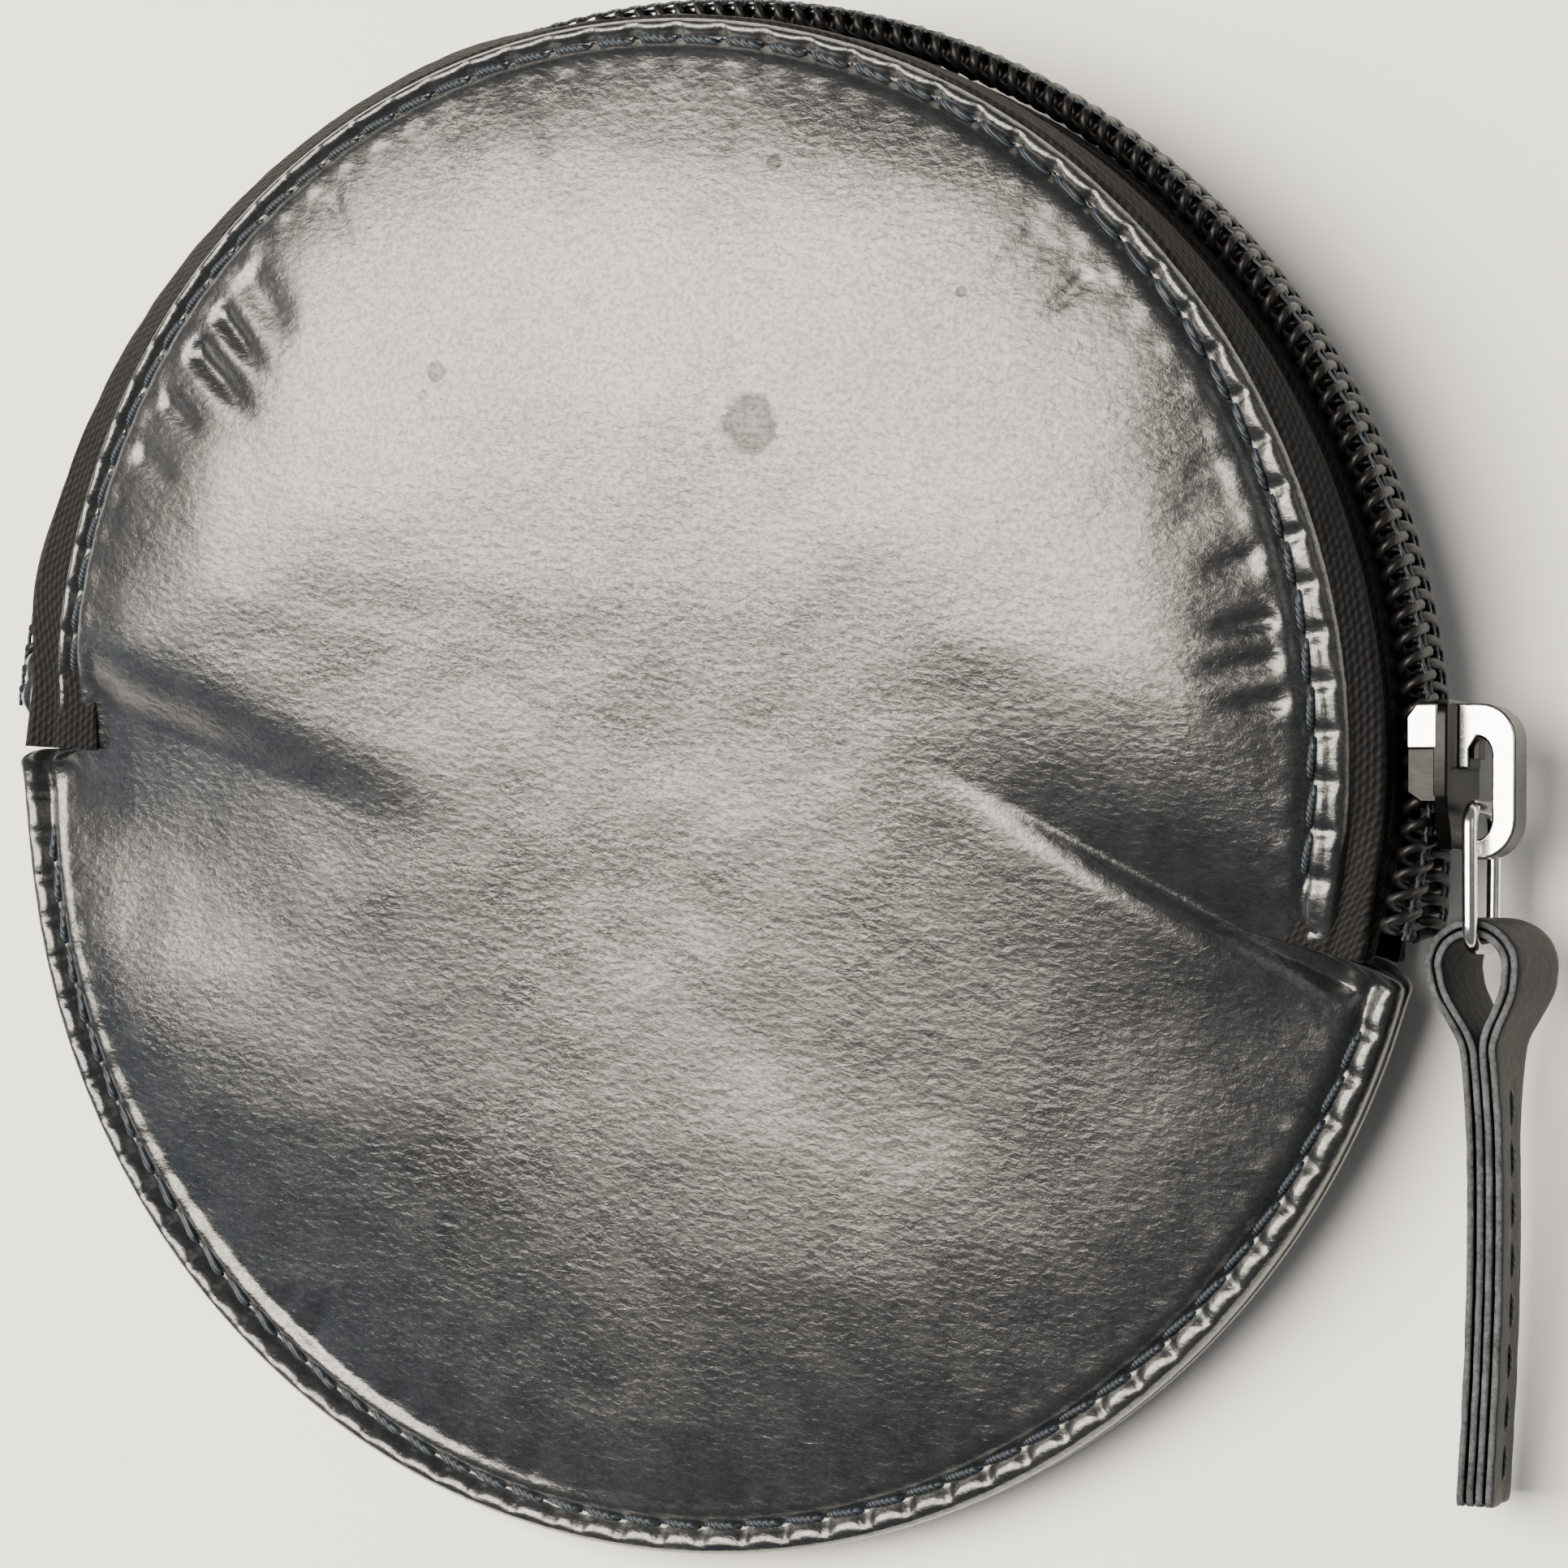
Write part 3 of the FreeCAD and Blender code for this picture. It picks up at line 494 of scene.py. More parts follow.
CALF = leather_material(
    "shell_calf", base=(0.006, 0.007, 0.009), worn=(0.014, 0.015, 0.016), roughness=(0.22, 0.34),
    grain_mm=0.42, grain_depth=0.045, specular=1.0, coat=0.8, marks=PANEL_MARKS,
)
STRAP_FACE = leather_material(
    "strap_calf", base=(0.004, 0.0045, 0.005), worn=(0.009, 0.010, 0.011), roughness=(0.46, 0.6),
    grain_mm=0.5, grain_depth=0.06, specular=0.3, coat=0.0,
)
CUT_EDGE = cut_edge_material()
SUEDE = suede_material()
WEAVE = weave_material()
NYLON = nylon_material()
THREAD_MATERIAL = thread_material()
# plain nickel, then a copy of it darkened to near black as painted shade for faces that would mirror dark
# surroundings
NICKEL = nickel_material("bright_nickel", (0.80, 0.79, 0.76), (0.10, 0.24))
NICKEL_PAINTED_SHADE = nickel_material("nickel_painted_shade", (0.016, 0.016, 0.016), (0.25, 0.4))
ENAMEL = enamel_material()

# ---------------------------------------------------------------- the leather panels


def smooth_step(value):
    clipped = np.clip(value, 0.0, 1.0)
    return clipped * clipped * (3.0 - 2.0 * clipped)


def field_noise(x, y, wavelength, seed):
    """Smooth noise over the panel, about -1 to 1."""
    flat = zip(np.ravel(x) / wavelength, np.ravel(y) / wavelength)
    values = [noise.noise(Vector((u, v, seed))) for u, v in flat]
    return np.reshape(values, np.shape(x))


def mouth_reach(angle):
    """Distance from the disc's axis to the mouth circle in a direction."""
    side = MOUTH_CENTRE_Y * np.cos(angle)
    return MOUTH_CENTRE_Y * np.sin(angle) + np.sqrt(MOUTH_RADIUS ** 2 - side ** 2)


NOTCH_ANGLE = math.asin(NOTCH_Y / DISC_RADIUS)
EAR_TURN = math.radians(1.5)
EAR_FLARE = 0.9


def rim_reach(angle):
    """Distance from the axis to the panel's edge: mouth circle above the notches, disc below."""
    angle = np.where(angle < -math.pi / 2, angle + 2 * math.pi, angle)
    above_notch = np.where(np.cos(angle) > 0, angle - NOTCH_ANGLE, math.pi - NOTCH_ANGLE - angle)
    below = np.clip(-above_notch / EAR_TURN, 0.0, 1.0)
    ear = np.sqrt(1.0 - (1.0 - below) ** 2)
    upper = mouth_reach(angle)
    from_left_ear = np.clip(angle - (math.pi - NOTCH_ANGLE), 0.0, None)
    flare = EAR_FLARE * np.exp(-from_left_ear / math.radians(7.0)) * (np.cos(angle) < 0)
    return upper + (DISC_RADIUS + flare - upper) * ear


def on_mouth(angle):
    """True where the rim belongs to the mouth and not to the lower seam."""
    return np.sin(angle) * DISC_RADIUS > NOTCH_Y


def stitch_inset(angle):
    """Distance of the stitch line from the rim: it drifts inwards on the slider's side of the mouth."""
    return np.where(on_mouth(angle), 1.35 + 0.9 * np.clip(np.cos(angle), 0, 1) ** 4, 1.9)


def mouth_share(x, y):
    """Blend from the lower seam (0) to the mouth (1): quick at the notches, slow in the middle."""
    inside = np.clip(MOUTH_RADIUS - np.hypot(x, y), 0.0, None)
    width = 1.2 + 0.72 * inside
    return 0.5 * (1.0 + np.tanh((y - NOTCH_Y) / width))


def rim_level(x, y):
    """Height of the panel's foundation: the seam below the notches and the slanted mouth above."""
    mouth = RIM_Z + RIM_SLOPE * y
    return SEAM_HALF + (mouth - SEAM_HALF) * mouth_share(x, y)


def belly_rise(x, y):
    """Puffed middle of a panel, flat in the middle and steep just inside the stitch line."""
    lower = np.clip(np.hypot(x, y) / (DISC_RADIUS - SEAM_MARGIN), 0.0, 1.0)
    upper = np.clip(np.hypot(x, y - MOUTH_CENTRE_Y) / (MOUTH_RADIUS - MOUTH_MARGIN), 0.0, 1.0)
    share = mouth_share(x, y)
    lower_rise = (1.0 - lower ** 3.0) ** BELLY_SHOULDER
    upper_rise = (1.0 - upper ** 3.0) ** BELLY_SHOULDER
    return BELLY * (lower_rise + (upper_rise - lower_rise) * share)


def stitch_phase(angle):
    """Stitch count round the rim: whole at the needle holes."""
    return angle * np.where(on_mouth(angle), MOUTH_RADIUS, DISC_RADIUS) / STITCH_PITCH


def rim_relief(angle, inset, seed):
    """Stitch groove, the swollen ribs outside it and the small gathers inside it."""
    phase = stitch_phase(angle)
    from_hole = np.abs(phase - np.round(phase))
    line = stitch_inset(angle)
    share = np.clip(inset / line, 0.0, 1.6)
    uneven = 0.85 + 0.3 * np.sin(3.1 * angle + seed) * np.sin(11.0 * angle + 2 * seed)
    band = np.clip(np.sin(math.pi * np.clip(share, 0.0, 1.0)), 0.0, 1.0) ** 0.7
    valley = np.exp(-((from_hole / (0.07 + 0.15 * np.clip(share, 0, 1))) ** 2)) * smooth_step(share / 0.75)
    ribs = band * (0.24 * uneven - 0.42 * valley)
    groove = -0.55 * np.exp(-(((inset - line) / 0.42) ** 2)) * (0.75 + 0.25 * valley)
    swell = 0.5 - 0.5 * np.cos(2 * math.pi * phase)
    gather = 0.11 * swell * uneven * np.exp(-(((inset - line - 1.15) / 0.7) ** 2))
    edge = -0.30 * np.exp(-((inset / 0.4) ** 2))
    return groove + ribs + gather + edge


def crease(x, y, start, end, depth, above, below, power=2.0):
    """Valley along a line that fades out at its end; a low power gives it a sharp bottom."""
    start, end = np.array(start), np.array(end)
    line = end - start
    length = np.linalg.norm(line)
    along = ((x - start[0]) * line[0] + (y - start[1]) * line[1]) / length ** 2
    normal = np.array([-line[1], line[0]]) / length
    if normal[1] < 0:
        normal = -normal
    across = (x - start[0]) * normal[0] + (y - start[1]) * normal[1]
    profile = np.exp(-(np.abs(across) / np.where(across > 0, above, below)) ** power)
    return -depth * profile * smooth_step((along + 0.25) / 0.3) * smooth_step((1.2 - along) / 0.9)


def pucker(x, y, angle_degrees, radius, length, width, depth):
    """Short radial wrinkle that runs inwards from the stitch line."""
    angle = math.radians(angle_degrees)
    along = x * math.cos(angle) + y * math.sin(angle)
    across = -x * math.sin(angle) + y * math.cos(angle)
    inner = smooth_step((along - (radius - length)) / (0.6 * length))
    outer = smooth_step((radius - along) / 1.2 + 0.5)
    return -depth * np.exp(-(across / width) ** 2) * (inner * outer)


RANDOM_PUCKERS = 46
# direction in degrees, outer radius, length, width, depth
NAMED_PUCKERS = (
    (146.5, 43.0, 8.0, 0.9, 0.55),
    (142.3, 43.0, 6.5, 0.7, 0.45),
    (137.8, 43.2, 7.0, 1.3, 0.30),
    (152.0, 43.0, 5.0, 0.7, 0.30),
    (157.5, 43.0, 5.0, 0.8, 0.22),
    (20.4, 43.2, 4.6, 0.55, 0.38),
    (17.0, 43.0, 5.5, 0.7, 0.28),
    (13.8, 43.0, 4.2, 0.6, 0.30),
    (25.5, 43.3, 4.0, 0.6, 0.2),
)


def random_puckers():
    """Faint small puckers all round, besides the named ones."""
    found = []
    for _ in range(RANDOM_PUCKERS):
        angle = RNG.uniform(0, 360)
        radius = 43.2 if 0 < angle < 180 else 47.0
        length = RNG.uniform(2.5, 6.5)
        width = RNG.uniform(0.4, 1.1)
        found.append((angle, radius, length, width, RNG.uniform(0.02, 0.09)))
    return found


PUCKERS = list(NAMED_PUCKERS) + random_puckers()


def front_relief(x, y):
    """Folds, dents and puckers of the front panel."""
    relief = crease(x, y, start=(45.6, -5.9), end=(23.5, 2.6), depth=1.3, above=3.6, below=0.9, power=1.3)
    relief += crease(x, y, start=(-46.5, -0.6), end=(-16.0, -6.0), depth=1.6, above=2.8, below=13.0)
    relief -= 2.3 * np.exp(-((x + 24.0) ** 2 + (y + 40.0) ** 2) / 24.0 ** 2)
    relief += 0.26 * field_noise(x, y, 17.0, 3.0) + 0.09 * field_noise(x, y, 7.5, 8.0)
    relief += 0.03 * field_noise(x, y, 3.1, 5.0)
    return relief


def back_relief(x, y):
    relief = crease(x, y, start=(46.0, -6.0), end=(28.0, -2.0), depth=0.9, above=3.4, below=1.6)
    relief += crease(x, y, start=(-46.0, -6.0), end=(-27.0, -3.0), depth=0.8, above=3.4, below=1.8)
    relief += 0.07 * field_noise(x, y, 15.0, 21.0) + 0.03 * field_noise(x, y, 5.0, 23.0)
    return relief


def panel_height(x, y, front):
    """Outer face of a panel above the seam plane, before the rim relief."""
    angle = np.arctan2(y, x)
    radius = np.hypot(x, y)
    full = rim_level(x, y) + belly_rise(x, y)
    inset = rim_reach(angle) - radius
    calm = smooth_step(inset / 5.0)
    if front:
        puckers = sum(pucker(x, y, *values) for values in PUCKERS)
        return full + front_relief(x, y) * np.clip(0.25 + calm, 0, 1) + puckers
    return full + back_relief(x, y) * calm


def back_surface(y, full):
    """The back mirrors the front but is pressed flat where it rests on the table."""
    table = -(LIE_HEIGHT / math.cos(LIE_ANGLE) + LIE_SLOPE * y) + FLOOR_CLEARANCE
    free = -full
    return 0.5 * (free + table + np.hypot(free - table, PRESS_SOFTNESS))


def rim_angles(count):
    """Directions round the disc, with extra ones where the outline steps at the notches."""
    plain = np.linspace(-math.pi / 2, 3 * math.pi / 2, count, endpoint=False)
    steps = np.linspace(-1.6, 0.6, 23) * EAR_TURN
    extra = np.concatenate([NOTCH_ANGLE + steps, math.pi - NOTCH_ANGLE - steps])
    return np.unique(np.round(np.concatenate([plain, extra]), 6))


RIM_STEPS = 900
RIM_BAND = 6.0
# the rounded cut edge: distance in from the rim in mm, and depth as a share of the thickness
EDGE_ROUND = ((0.32, 0.0), (0.10, 0.10), (0.0, 0.32), (0.0, 0.72), (0.09, 0.93), (0.3, 1.0))


def panel_shell(name, material, front, offset, thickness, trim=0.0, relief=True, rings=(70, 26)):
    """Closed shell of leather: outer face, rounded cut edge and inner face, on a polar grid.

    offset is how far the shell's outer face lies inside the leather's; trim pulls its edge in.
    """
    angles = rim_angles(RIM_STEPS)
    edge = rim_reach(angles)
    edge = np.where(on_mouth(angles), edge - trim, edge)
    side = 1.0 if front else -1.0
    middle_rings, rim_rings = rings
    inner = np.linspace(0.0, 1.0, middle_rings, endpoint=False)[1:]
    rows = []
    for share in inner:
        rows.append(((edge - RIM_BAND) * share, np.zeros_like(angles)))
    for inset in np.linspace(RIM_BAND, 0.34, rim_rings):
        rows.append((edge - inset, np.zeros_like(angles)))
    for inset, depth in EDGE_ROUND:
        rows.append((edge - inset, np.full_like(angles, depth * thickness)))
    for inset in np.linspace(0.6, RIM_BAND, 8):
        rows.append((edge - inset, np.full_like(angles, thickness)))
    for share in np.linspace(1.0, 0.0, 24, endpoint=False)[1:]:
        rows.append(((edge - RIM_BAND) * share, np.full_like(angles, thickness)))
    radius = np.array([row[0] for row in rows])
    depth = np.array([row[1] for row in rows])
    x = radius * np.cos(angles)
    y = radius * np.sin(angles)
    full = panel_height(x, y, front)
    if relief:
        full = full + rim_relief(angles[None, :], rim_reach(angles)[None, :] - radius, 1.0 if front else 2.0)
    surface = full if front else back_surface(y, full)
    z = surface - side * (depth + offset)
    points = np.stack([x, y, z], axis=-1).reshape(-1, 3)
    count = len(angles)
    faces = grid_faces(len(rows), count, closed_columns=True, flip=front)
    first = np.array([[0.0, 0.0, np.mean(z[0])]])
    last = np.array([[0.0, 0.0, np.mean(z[-1])]])
    points = np.concatenate([points, first, last])
    hub, tail = len(points) - 2, len(points) - 1
    base = (len(rows) - 1) * count
    for column in range(count):
        following = (column + 1) % count
        near = (hub, column, following)
        far = (tail, base + following, base + column)
        faces.append(near if front else near[::-1])
        faces.append(far if front else far[::-1])
    return new_piece(name, points, faces, material)


def placed(piece, body, slot, *nodes):
    """Hide the CAD nodes a piece stands for and attach it to the body that carries it, or for the front flap
    only bake it in place; slot is not used.
    """
    if nodes:
        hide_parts(*nodes)
    if body == "front_flap":
        fold(piece)
    else:
        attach(piece, body)


def fold(piece):
    """Bake a front piece's placement into its mesh; it is not bent or attached to a body."""
    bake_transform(piece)


LINING_SHELL = (LEATHER + 0.03, LINING - 0.06, LINING_INSET, False, (40, 10))


def make_panels():
    placed(
        panel_shell("front_leather", CALF, True, 0.0, LEATHER),
        "front_flap", "shell_leather", "front_panel_lower", "front_panel_upper",
    )
    placed(
        panel_shell("back_leather", CALF, False, 0.0, LEATHER),
        "purse_body", "shell_leather", "back_panel",
    )
    placed(
        panel_shell("front_suede", SUEDE, True, *LINING_SHELL),
        "front_flap", "lining_suede", "front_lining_lower", "front_lining_upper",
    )
    placed(
        panel_shell("back_suede", SUEDE, False, *LINING_SHELL),
        "purse_body", "lining_suede", "back_lining",
    )


# ---------------------------------------------------------------- stitches


def surface_at(x, y, front):
    """Outer face with its rim relief, for the places where the thread lies."""
    angle = np.arctan2(y, x)
    angle = np.where(angle < -math.pi / 2, angle + 2 * math.pi, angle)
    full = panel_height(x, y, front)
    full = full + rim_relief(angle, rim_reach(angle) - np.hypot(x, y), 1.0 if front else 2.0)
    return full if front else back_surface(y, full)


def add_stitches(parts, lower, upper, front):
    """One dipping run of thread from each needle hole to the next, between two directions."""
    side = 1.0 if front else -1.0
    reach = MOUTH_RADIUS if on_mouth(0.5 * (lower + upper)) else DISC_RADIUS
    first = math.ceil(lower * reach / STITCH_PITCH)
    last = math.floor(upper * reach / STITCH_PITCH)
    for count in range(first, last):
        share = np.linspace(0.04, 0.96, 11)
        slant = 0.30 * (share - 0.5)
        angle = (count + share) * STITCH_PITCH / reach
        radius = rim_reach(angle) - stitch_inset(angle) + slant + RNG.uniform(-0.05, 0.05)
        x = radius * np.cos(angle)
        y = radius * np.sin(angle)
        dip = np.abs(2 * share - 1) ** 4
        z = surface_at(x, y, front) + side * (THREAD * 0.22 - dip * 0.5)
        path = np.stack([x, y, z], axis=-1)
        hints = np.tile([0.0, 0.0, side], (len(path), 1))
        radius_here = THREAD / 2 * (1 - 0.25 * dip)
        parts.add(*swept_tube(path, radius_here, radius_here * 0.85, hints, 10))


def make_stitches():
    notch = NOTCH_ANGLE
    clear = math.radians(2.0)
    seam_span = (-math.pi - notch + clear * 1.6, notch - clear * 1.6)
    mouth_span = (notch + clear, math.pi - notch - clear)
    lower = MeshParts()
    add_stitches(lower, *seam_span, True)
    add_stitches(lower, *seam_span, False)
    placed(lower.piece("lower_seam_thread", THREAD_MATERIAL), "purse_body", "thread", "seam_thread_lower")
    mouth = MeshParts()
    add_stitches(mouth, *mouth_span, True)
    placed(
        mouth.piece("front_mouth_thread", THREAD_MATERIAL),
        "front_flap", "thread", "seam_thread_mouth_front", "seam_thread_mouth_ends",
    )
    back = MeshParts()
    add_stitches(back, *mouth_span, False)
    placed(back.piece("back_mouth_thread", THREAD_MATERIAL), "purse_body", "thread", "seam_thread_mouth_back")


# ---------------------------------------------------------------- zip tapes and coils

# the chain lies this far outside its ring in the CAD model
CHAIN_SHIFT = 0.2
TAPE_HALF = 0.22
TAPE_OUT = 48.1
TAPE_BULGE = 1.2
CHAIN_START = math.radians(-3.2)
CHAIN_END = math.radians(182.2)
TAPE_START = math.radians(-5.4)
TAPE_END = math.radians(185.4)
SPLIT_ANGLE = math.radians(6.5)
PARTING_TURN = math.radians(12.0)
ROWS_APART = 2.6


def parting(angle):
    """How far the rows have parted below the slider, in mm: none above it."""
    return ROWS_APART * smooth_step((SPLIT_ANGLE - angle) / PARTING_TURN)


def tape_section(angle, side):
    """Points (radius, z) across one tape at an angle, from under the coil to inside the panel's rim."""
    on_rim = min(max(angle, NOTCH_ANGLE), math.pi - NOTCH_ANGLE)
    rim = float(rim_reach(np.array(on_rim)))
    y = rim * math.sin(angle)
    top = RIM_Z + RIM_SLOPE * y - LEATHER * 0.5
    spread = float(parting(angle))
    edge_z = 0.25 + spread
    bend_z = min(3.35 + spread * 0.55, top - 0.5)
    knots = np.array([
        (47.85, edge_z), (47.95, 0.5 * (edge_z + bend_z)), (47.85, bend_z - 0.25), (47.45, bend_z),
        (47.6, bend_z + 0.35), (47.55, bend_z + 0.8), (rim + 0.10, top - 0.35), (rim - 0.35, top - 0.15),
        (rim - 3.0, top - 0.55),
    ])
    knots[:6, 0] += CHAIN_SHIFT
    knots[:, 0] = np.minimum(knots[:, 0], TAPE_OUT)
    bulge = TAPE_BULGE * smooth_step((angle - math.radians(96)) / math.radians(20))
    bulge *= smooth_step((math.radians(182) - angle) / math.radians(12))
    fold_z = bend_z + 0.8 + np.array([0.3, 0.45]) * max(top - bend_z - 1.15, 0.4)
    puffed = np.stack([48.0 + bulge * np.array([0.85, 1.0]), fold_z], -1)
    knots = np.concatenate([knots[:6], puffed, knots[6:]])
    length = np.concatenate([[0], np.cumsum(np.hypot(*np.diff(knots, axis=0).T))])
    places = np.linspace(0, length[-1], 34)
    out = np.interp(places, length, knots[:, 0])
    up = np.interp(places, length, knots[:, 1])
    return np.stack([out, side * up], -1), places


def tape_piece(name, side):
    """Woven tape as a thin closed band."""
    angles = np.linspace(TAPE_START, TAPE_END, 420)
    rows = []
    uvs = []
    for angle in angles:
        section, places = tape_section(angle, side)
        tangent = np.gradient(section, axis=0)
        tangent /= np.linalg.norm(tangent, axis=1, keepdims=True)
        normal = np.stack([-tangent[:, 1], tangent[:, 0]], -1) * (-side)
        ripple = 0.03 * np.sin(places * 9.0 + 4 * math.sin(angle * 23.0))
        outer = section + normal * (TAPE_HALF + ripple)[:, None]
        inner = (section - normal * TAPE_HALF)[::-1]
        ring = np.concatenate([outer, inner])
        ring_radius, ring_z = ring[:, 0], ring[:, 1]
        rows.append(np.stack([ring_radius * math.cos(angle), ring_radius * math.sin(angle), ring_z], -1))
        across = np.concatenate([places, places[::-1]])
        uvs.append(np.stack([np.full(len(ring), angle * 48.0), across], -1))
    columns = len(rows[0])
    faces = grid_faces(len(rows), columns, closed_columns=True, flip=side > 0)
    caps = end_caps(len(rows), columns)
    faces += [cap[::-1] for cap in caps] if side > 0 else caps
    return new_piece(name, np.concatenate(rows), faces, WEAVE, uvs=np.concatenate(uvs))


COIL_PITCH = 1.4


def coil_piece(name, side):
    """One nylon coil row: a flattened helix round the chain circle, half a pitch from its partner."""
    turns = int((CHAIN_END - CHAIN_START) * COIL_RADIUS / COIL_PITCH)
    steps = 16
    count = turns * steps + 1
    turn = np.linspace(0, turns, count)
    shift = 0.25 if side > 0 else 0.75
    angle = CHAIN_START + (turn + 0.3 * np.sin(2 * math.pi * (turn + shift)) * 0.5) * COIL_PITCH / COIL_RADIUS
    swing = 2 * math.pi * (turn + shift)
    half_width = 1.55
    half_height = 0.74
    centre_z = 1.2 + parting(angle)
    z = side * (centre_z + half_width * np.cos(swing))
    loop_lift = np.sign(np.sin(swing)) * np.abs(np.sin(swing)) ** 0.6
    radius = COIL_RADIUS + CHAIN_SHIFT + 0.1 + half_height * loop_lift
    path = np.stack([radius * np.cos(angle), radius * np.sin(angle), z], -1)
    hints = np.stack([np.cos(angle), np.sin(angle), np.zeros(count)], -1)
    return new_piece(name, *swept_tube(path, 0.36, 0.32, hints, 8), NYLON)


def coil_cord_piece(name, side):
    """The sewing lines that hold a coil row to its tape."""
    parts = MeshParts()
    for offset in (1.0, 2.15):
        angle = np.linspace(CHAIN_START, CHAIN_END, 480)
        wobble = 0.05 * np.sin(angle * COIL_RADIUS / COIL_PITCH * 2 * math.pi)
        z = side * (offset + 0.15 + parting(angle))
        radius = COIL_RADIUS + CHAIN_SHIFT + 0.85 + wobble
        path = np.stack([radius * np.cos(angle), radius * np.sin(angle), z * np.ones_like(angle)], -1)
        hints = np.stack([np.cos(angle), np.sin(angle), np.zeros(len(angle))], -1)
        parts.add(*swept_tube(path, 0.16, 0.12, hints, 6))
    return parts.piece(name, THREAD_MATERIAL)


def make_zip():
    placed(tape_piece("front_tape", 1), "front_flap", "zip_tape", "zip_tape_front", "zip_tape_front_ends")
    placed(coil_piece("front_coil", 1), "front_flap", "coil_nylon", "coil_front", "coil_front_ends")
    placed(coil_cord_piece("front_coil_sewing", 1), "front_flap", "thread")
    placed(tape_piece("back_tape", -1), "purse_body", "zip_tape", "zip_tape_back")
    placed(coil_piece("back_coil", -1), "purse_body", "coil_nylon", "coil_back")
    placed(coil_cord_piece("back_coil_sewing", -1), "purse_body", "thread")


# ---------------------------------------------------------------- slider

TOP_PLATE = (50.8, 51.7)
BOTTOM_PLATE = (46.1, 47.0)
SLIDER_LENGTH = 9.0
PLATE_HALF_WIDTH = 3.9
NOSE_HALF_WIDTH = 2.5
BLADE_HALF = 0.18
LIP_FACE = 3.92
CROWN_WIDTH = 2.9
CROWN_OUT = 55.2


def on_slider(points):
    return rotated_z(points, SLIDER_ANGLE)


def extruded(outline, low, high, arrange):
    """Closed prism: a 2-D outline carried from low to high; arrange turns (a, b, level) into x, y, z."""
    outline = np.asarray(outline, float)
    count = len(outline)
    points = np.concatenate([
        arrange(outline[:, 0], outline[:, 1], np.full(count, low)),
        arrange(outline[:, 0], outline[:, 1], np.full(count, high)),
    ])
    return points, grid_faces(2, count, closed_columns=True) + end_caps(2, count)


def facing_out(along, across, level):
    """Slider plates: along the track, across it, and level as the radius."""
    return np.stack([level, along, across], -1)


def from_side(out, along, level):
    """Side profiles: radius and place along the track, with level as z."""
    return np.stack([out, along, level], -1)


def shield(half_length, half_width, nose):
    """Outline of a slider plate: rounded shoulders at its head, narrowing to the nose."""
    curve = np.linspace(0, 1, 12)
    head = [
        (half_length - 1.3 + 1.3 * math.sin(t * math.pi / 2), half_width * (1 - 0.30 * t ** 2.2))
        for t in curve
    ]
    tail = [
        (-half_length + (half_length - 1.2) * (1 - t), nose + (half_width - nose) * (1 - t) ** 0.8)
        for t in curve
    ]
    right = tail[::-1] + head
    left = [(along, -across) for along, across in reversed(right)]
    return right + left


def fixed_normals(piece):
    """Make every face of a closed mesh point outwards."""
    work = bmesh.new()
    work.from_mesh(piece.data)
    bmesh.ops.recalc_face_normals(work, faces=work.faces)
    work.to_mesh(piece.data)
    work.free()
    return piece


def slider_body_piece():
    parts = MeshParts()
    plate_outline = shield(SLIDER_LENGTH / 2, PLATE_HALF_WIDTH, NOSE_HALF_WIDTH)
    for (low, high), width in ((TOP_PLATE, 1.0), (BOTTOM_PLATE, 0.7)):
        outline = [(along, across * width) for along, across in plate_outline]
        points, faces = extruded(outline, low, high, facing_out)
        parts.add(on_slider(points), faces)
    upper_lip = [(49.25, 1.5), (49.25, 3.4), (49.8, 4.2), (51.1, 4.2), (51.1, 1.5)]
    # the faces listed here keep plain nickel; the rest of the casting gets the nickel darkened as painted
    # shade
    unshaded_faces = []
    lower_lip = [(49.25, -1.1), (49.25, 1.6), (51.1, 1.6), (51.1, -1.7), (50.1, -1.7)]
    for side in (-1, 1):
        for lip, face in ((upper_lip, LIP_FACE), (lower_lip, LIP_FACE - 0.06)):
            low, high = sorted((side * 3.25, side * face))
            points, faces = extruded(lip, low, high, from_side)
            parts.add(on_slider(points), faces)
            if lip is upper_lip:
                unshaded_faces.append(len(parts.faces) - (1 if side > 0 else 2))
    blade = [(46.2, -3.9), (51.5, -3.9), (51.5, -1.3), (46.2, -1.3)]
    points, faces = extruded(blade, -BLADE_HALF, BLADE_HALF, from_side)
    parts.add(on_slider(points), faces)
    # painted shade: the casting is the darkened nickel, with only the upper lips' outward faces in plain
    # nickel
    piece = fixed_normals(parts.piece("slider_casting", NICKEL_PAINTED_SHADE))
    piece.data.materials.append(NICKEL)
    for index in unshaded_faces:
        piece.data.polygons[index].material_index = 1
    return bevelled(piece, 0.16)


def crown_outline():
    """Side profile of the crown: an arch from the head of the top plate to a hooked lip at its foot."""
    base = TOP_PLATE[1] - 0.05
    out = CROWN_OUT
    turn = np.linspace(0, math.pi / 2, 9)
    head = [(out - 2.2 + 2.2 * math.sin(t), 2.1 + 2.2 * math.cos(t)) for t in turn]
    foot = [(out - 2.3 + 2.3 * math.cos(t), -2.6 - 2.4 * math.sin(t)) for t in turn]
    lip = [(52.25, -4.75), (52.1, -4.1), (52.6, -3.95)]
    inner_foot = [(out - 2.3 + 0.85 * math.cos(t), -2.5 - 1.3 * math.sin(t)) for t in turn[::-1]]
    inner_head = [(out - 2.35 + 0.9 * math.sin(t), 1.2 + 1.1 * math.cos(t)) for t in turn[::-1]]
    tail = [(base + 0.75, 1.6), (base + 0.75, 0.4), (base, 0.4)]
    return [(base, 4.3)] + head + foot + lip + inner_foot + inner_head + tail


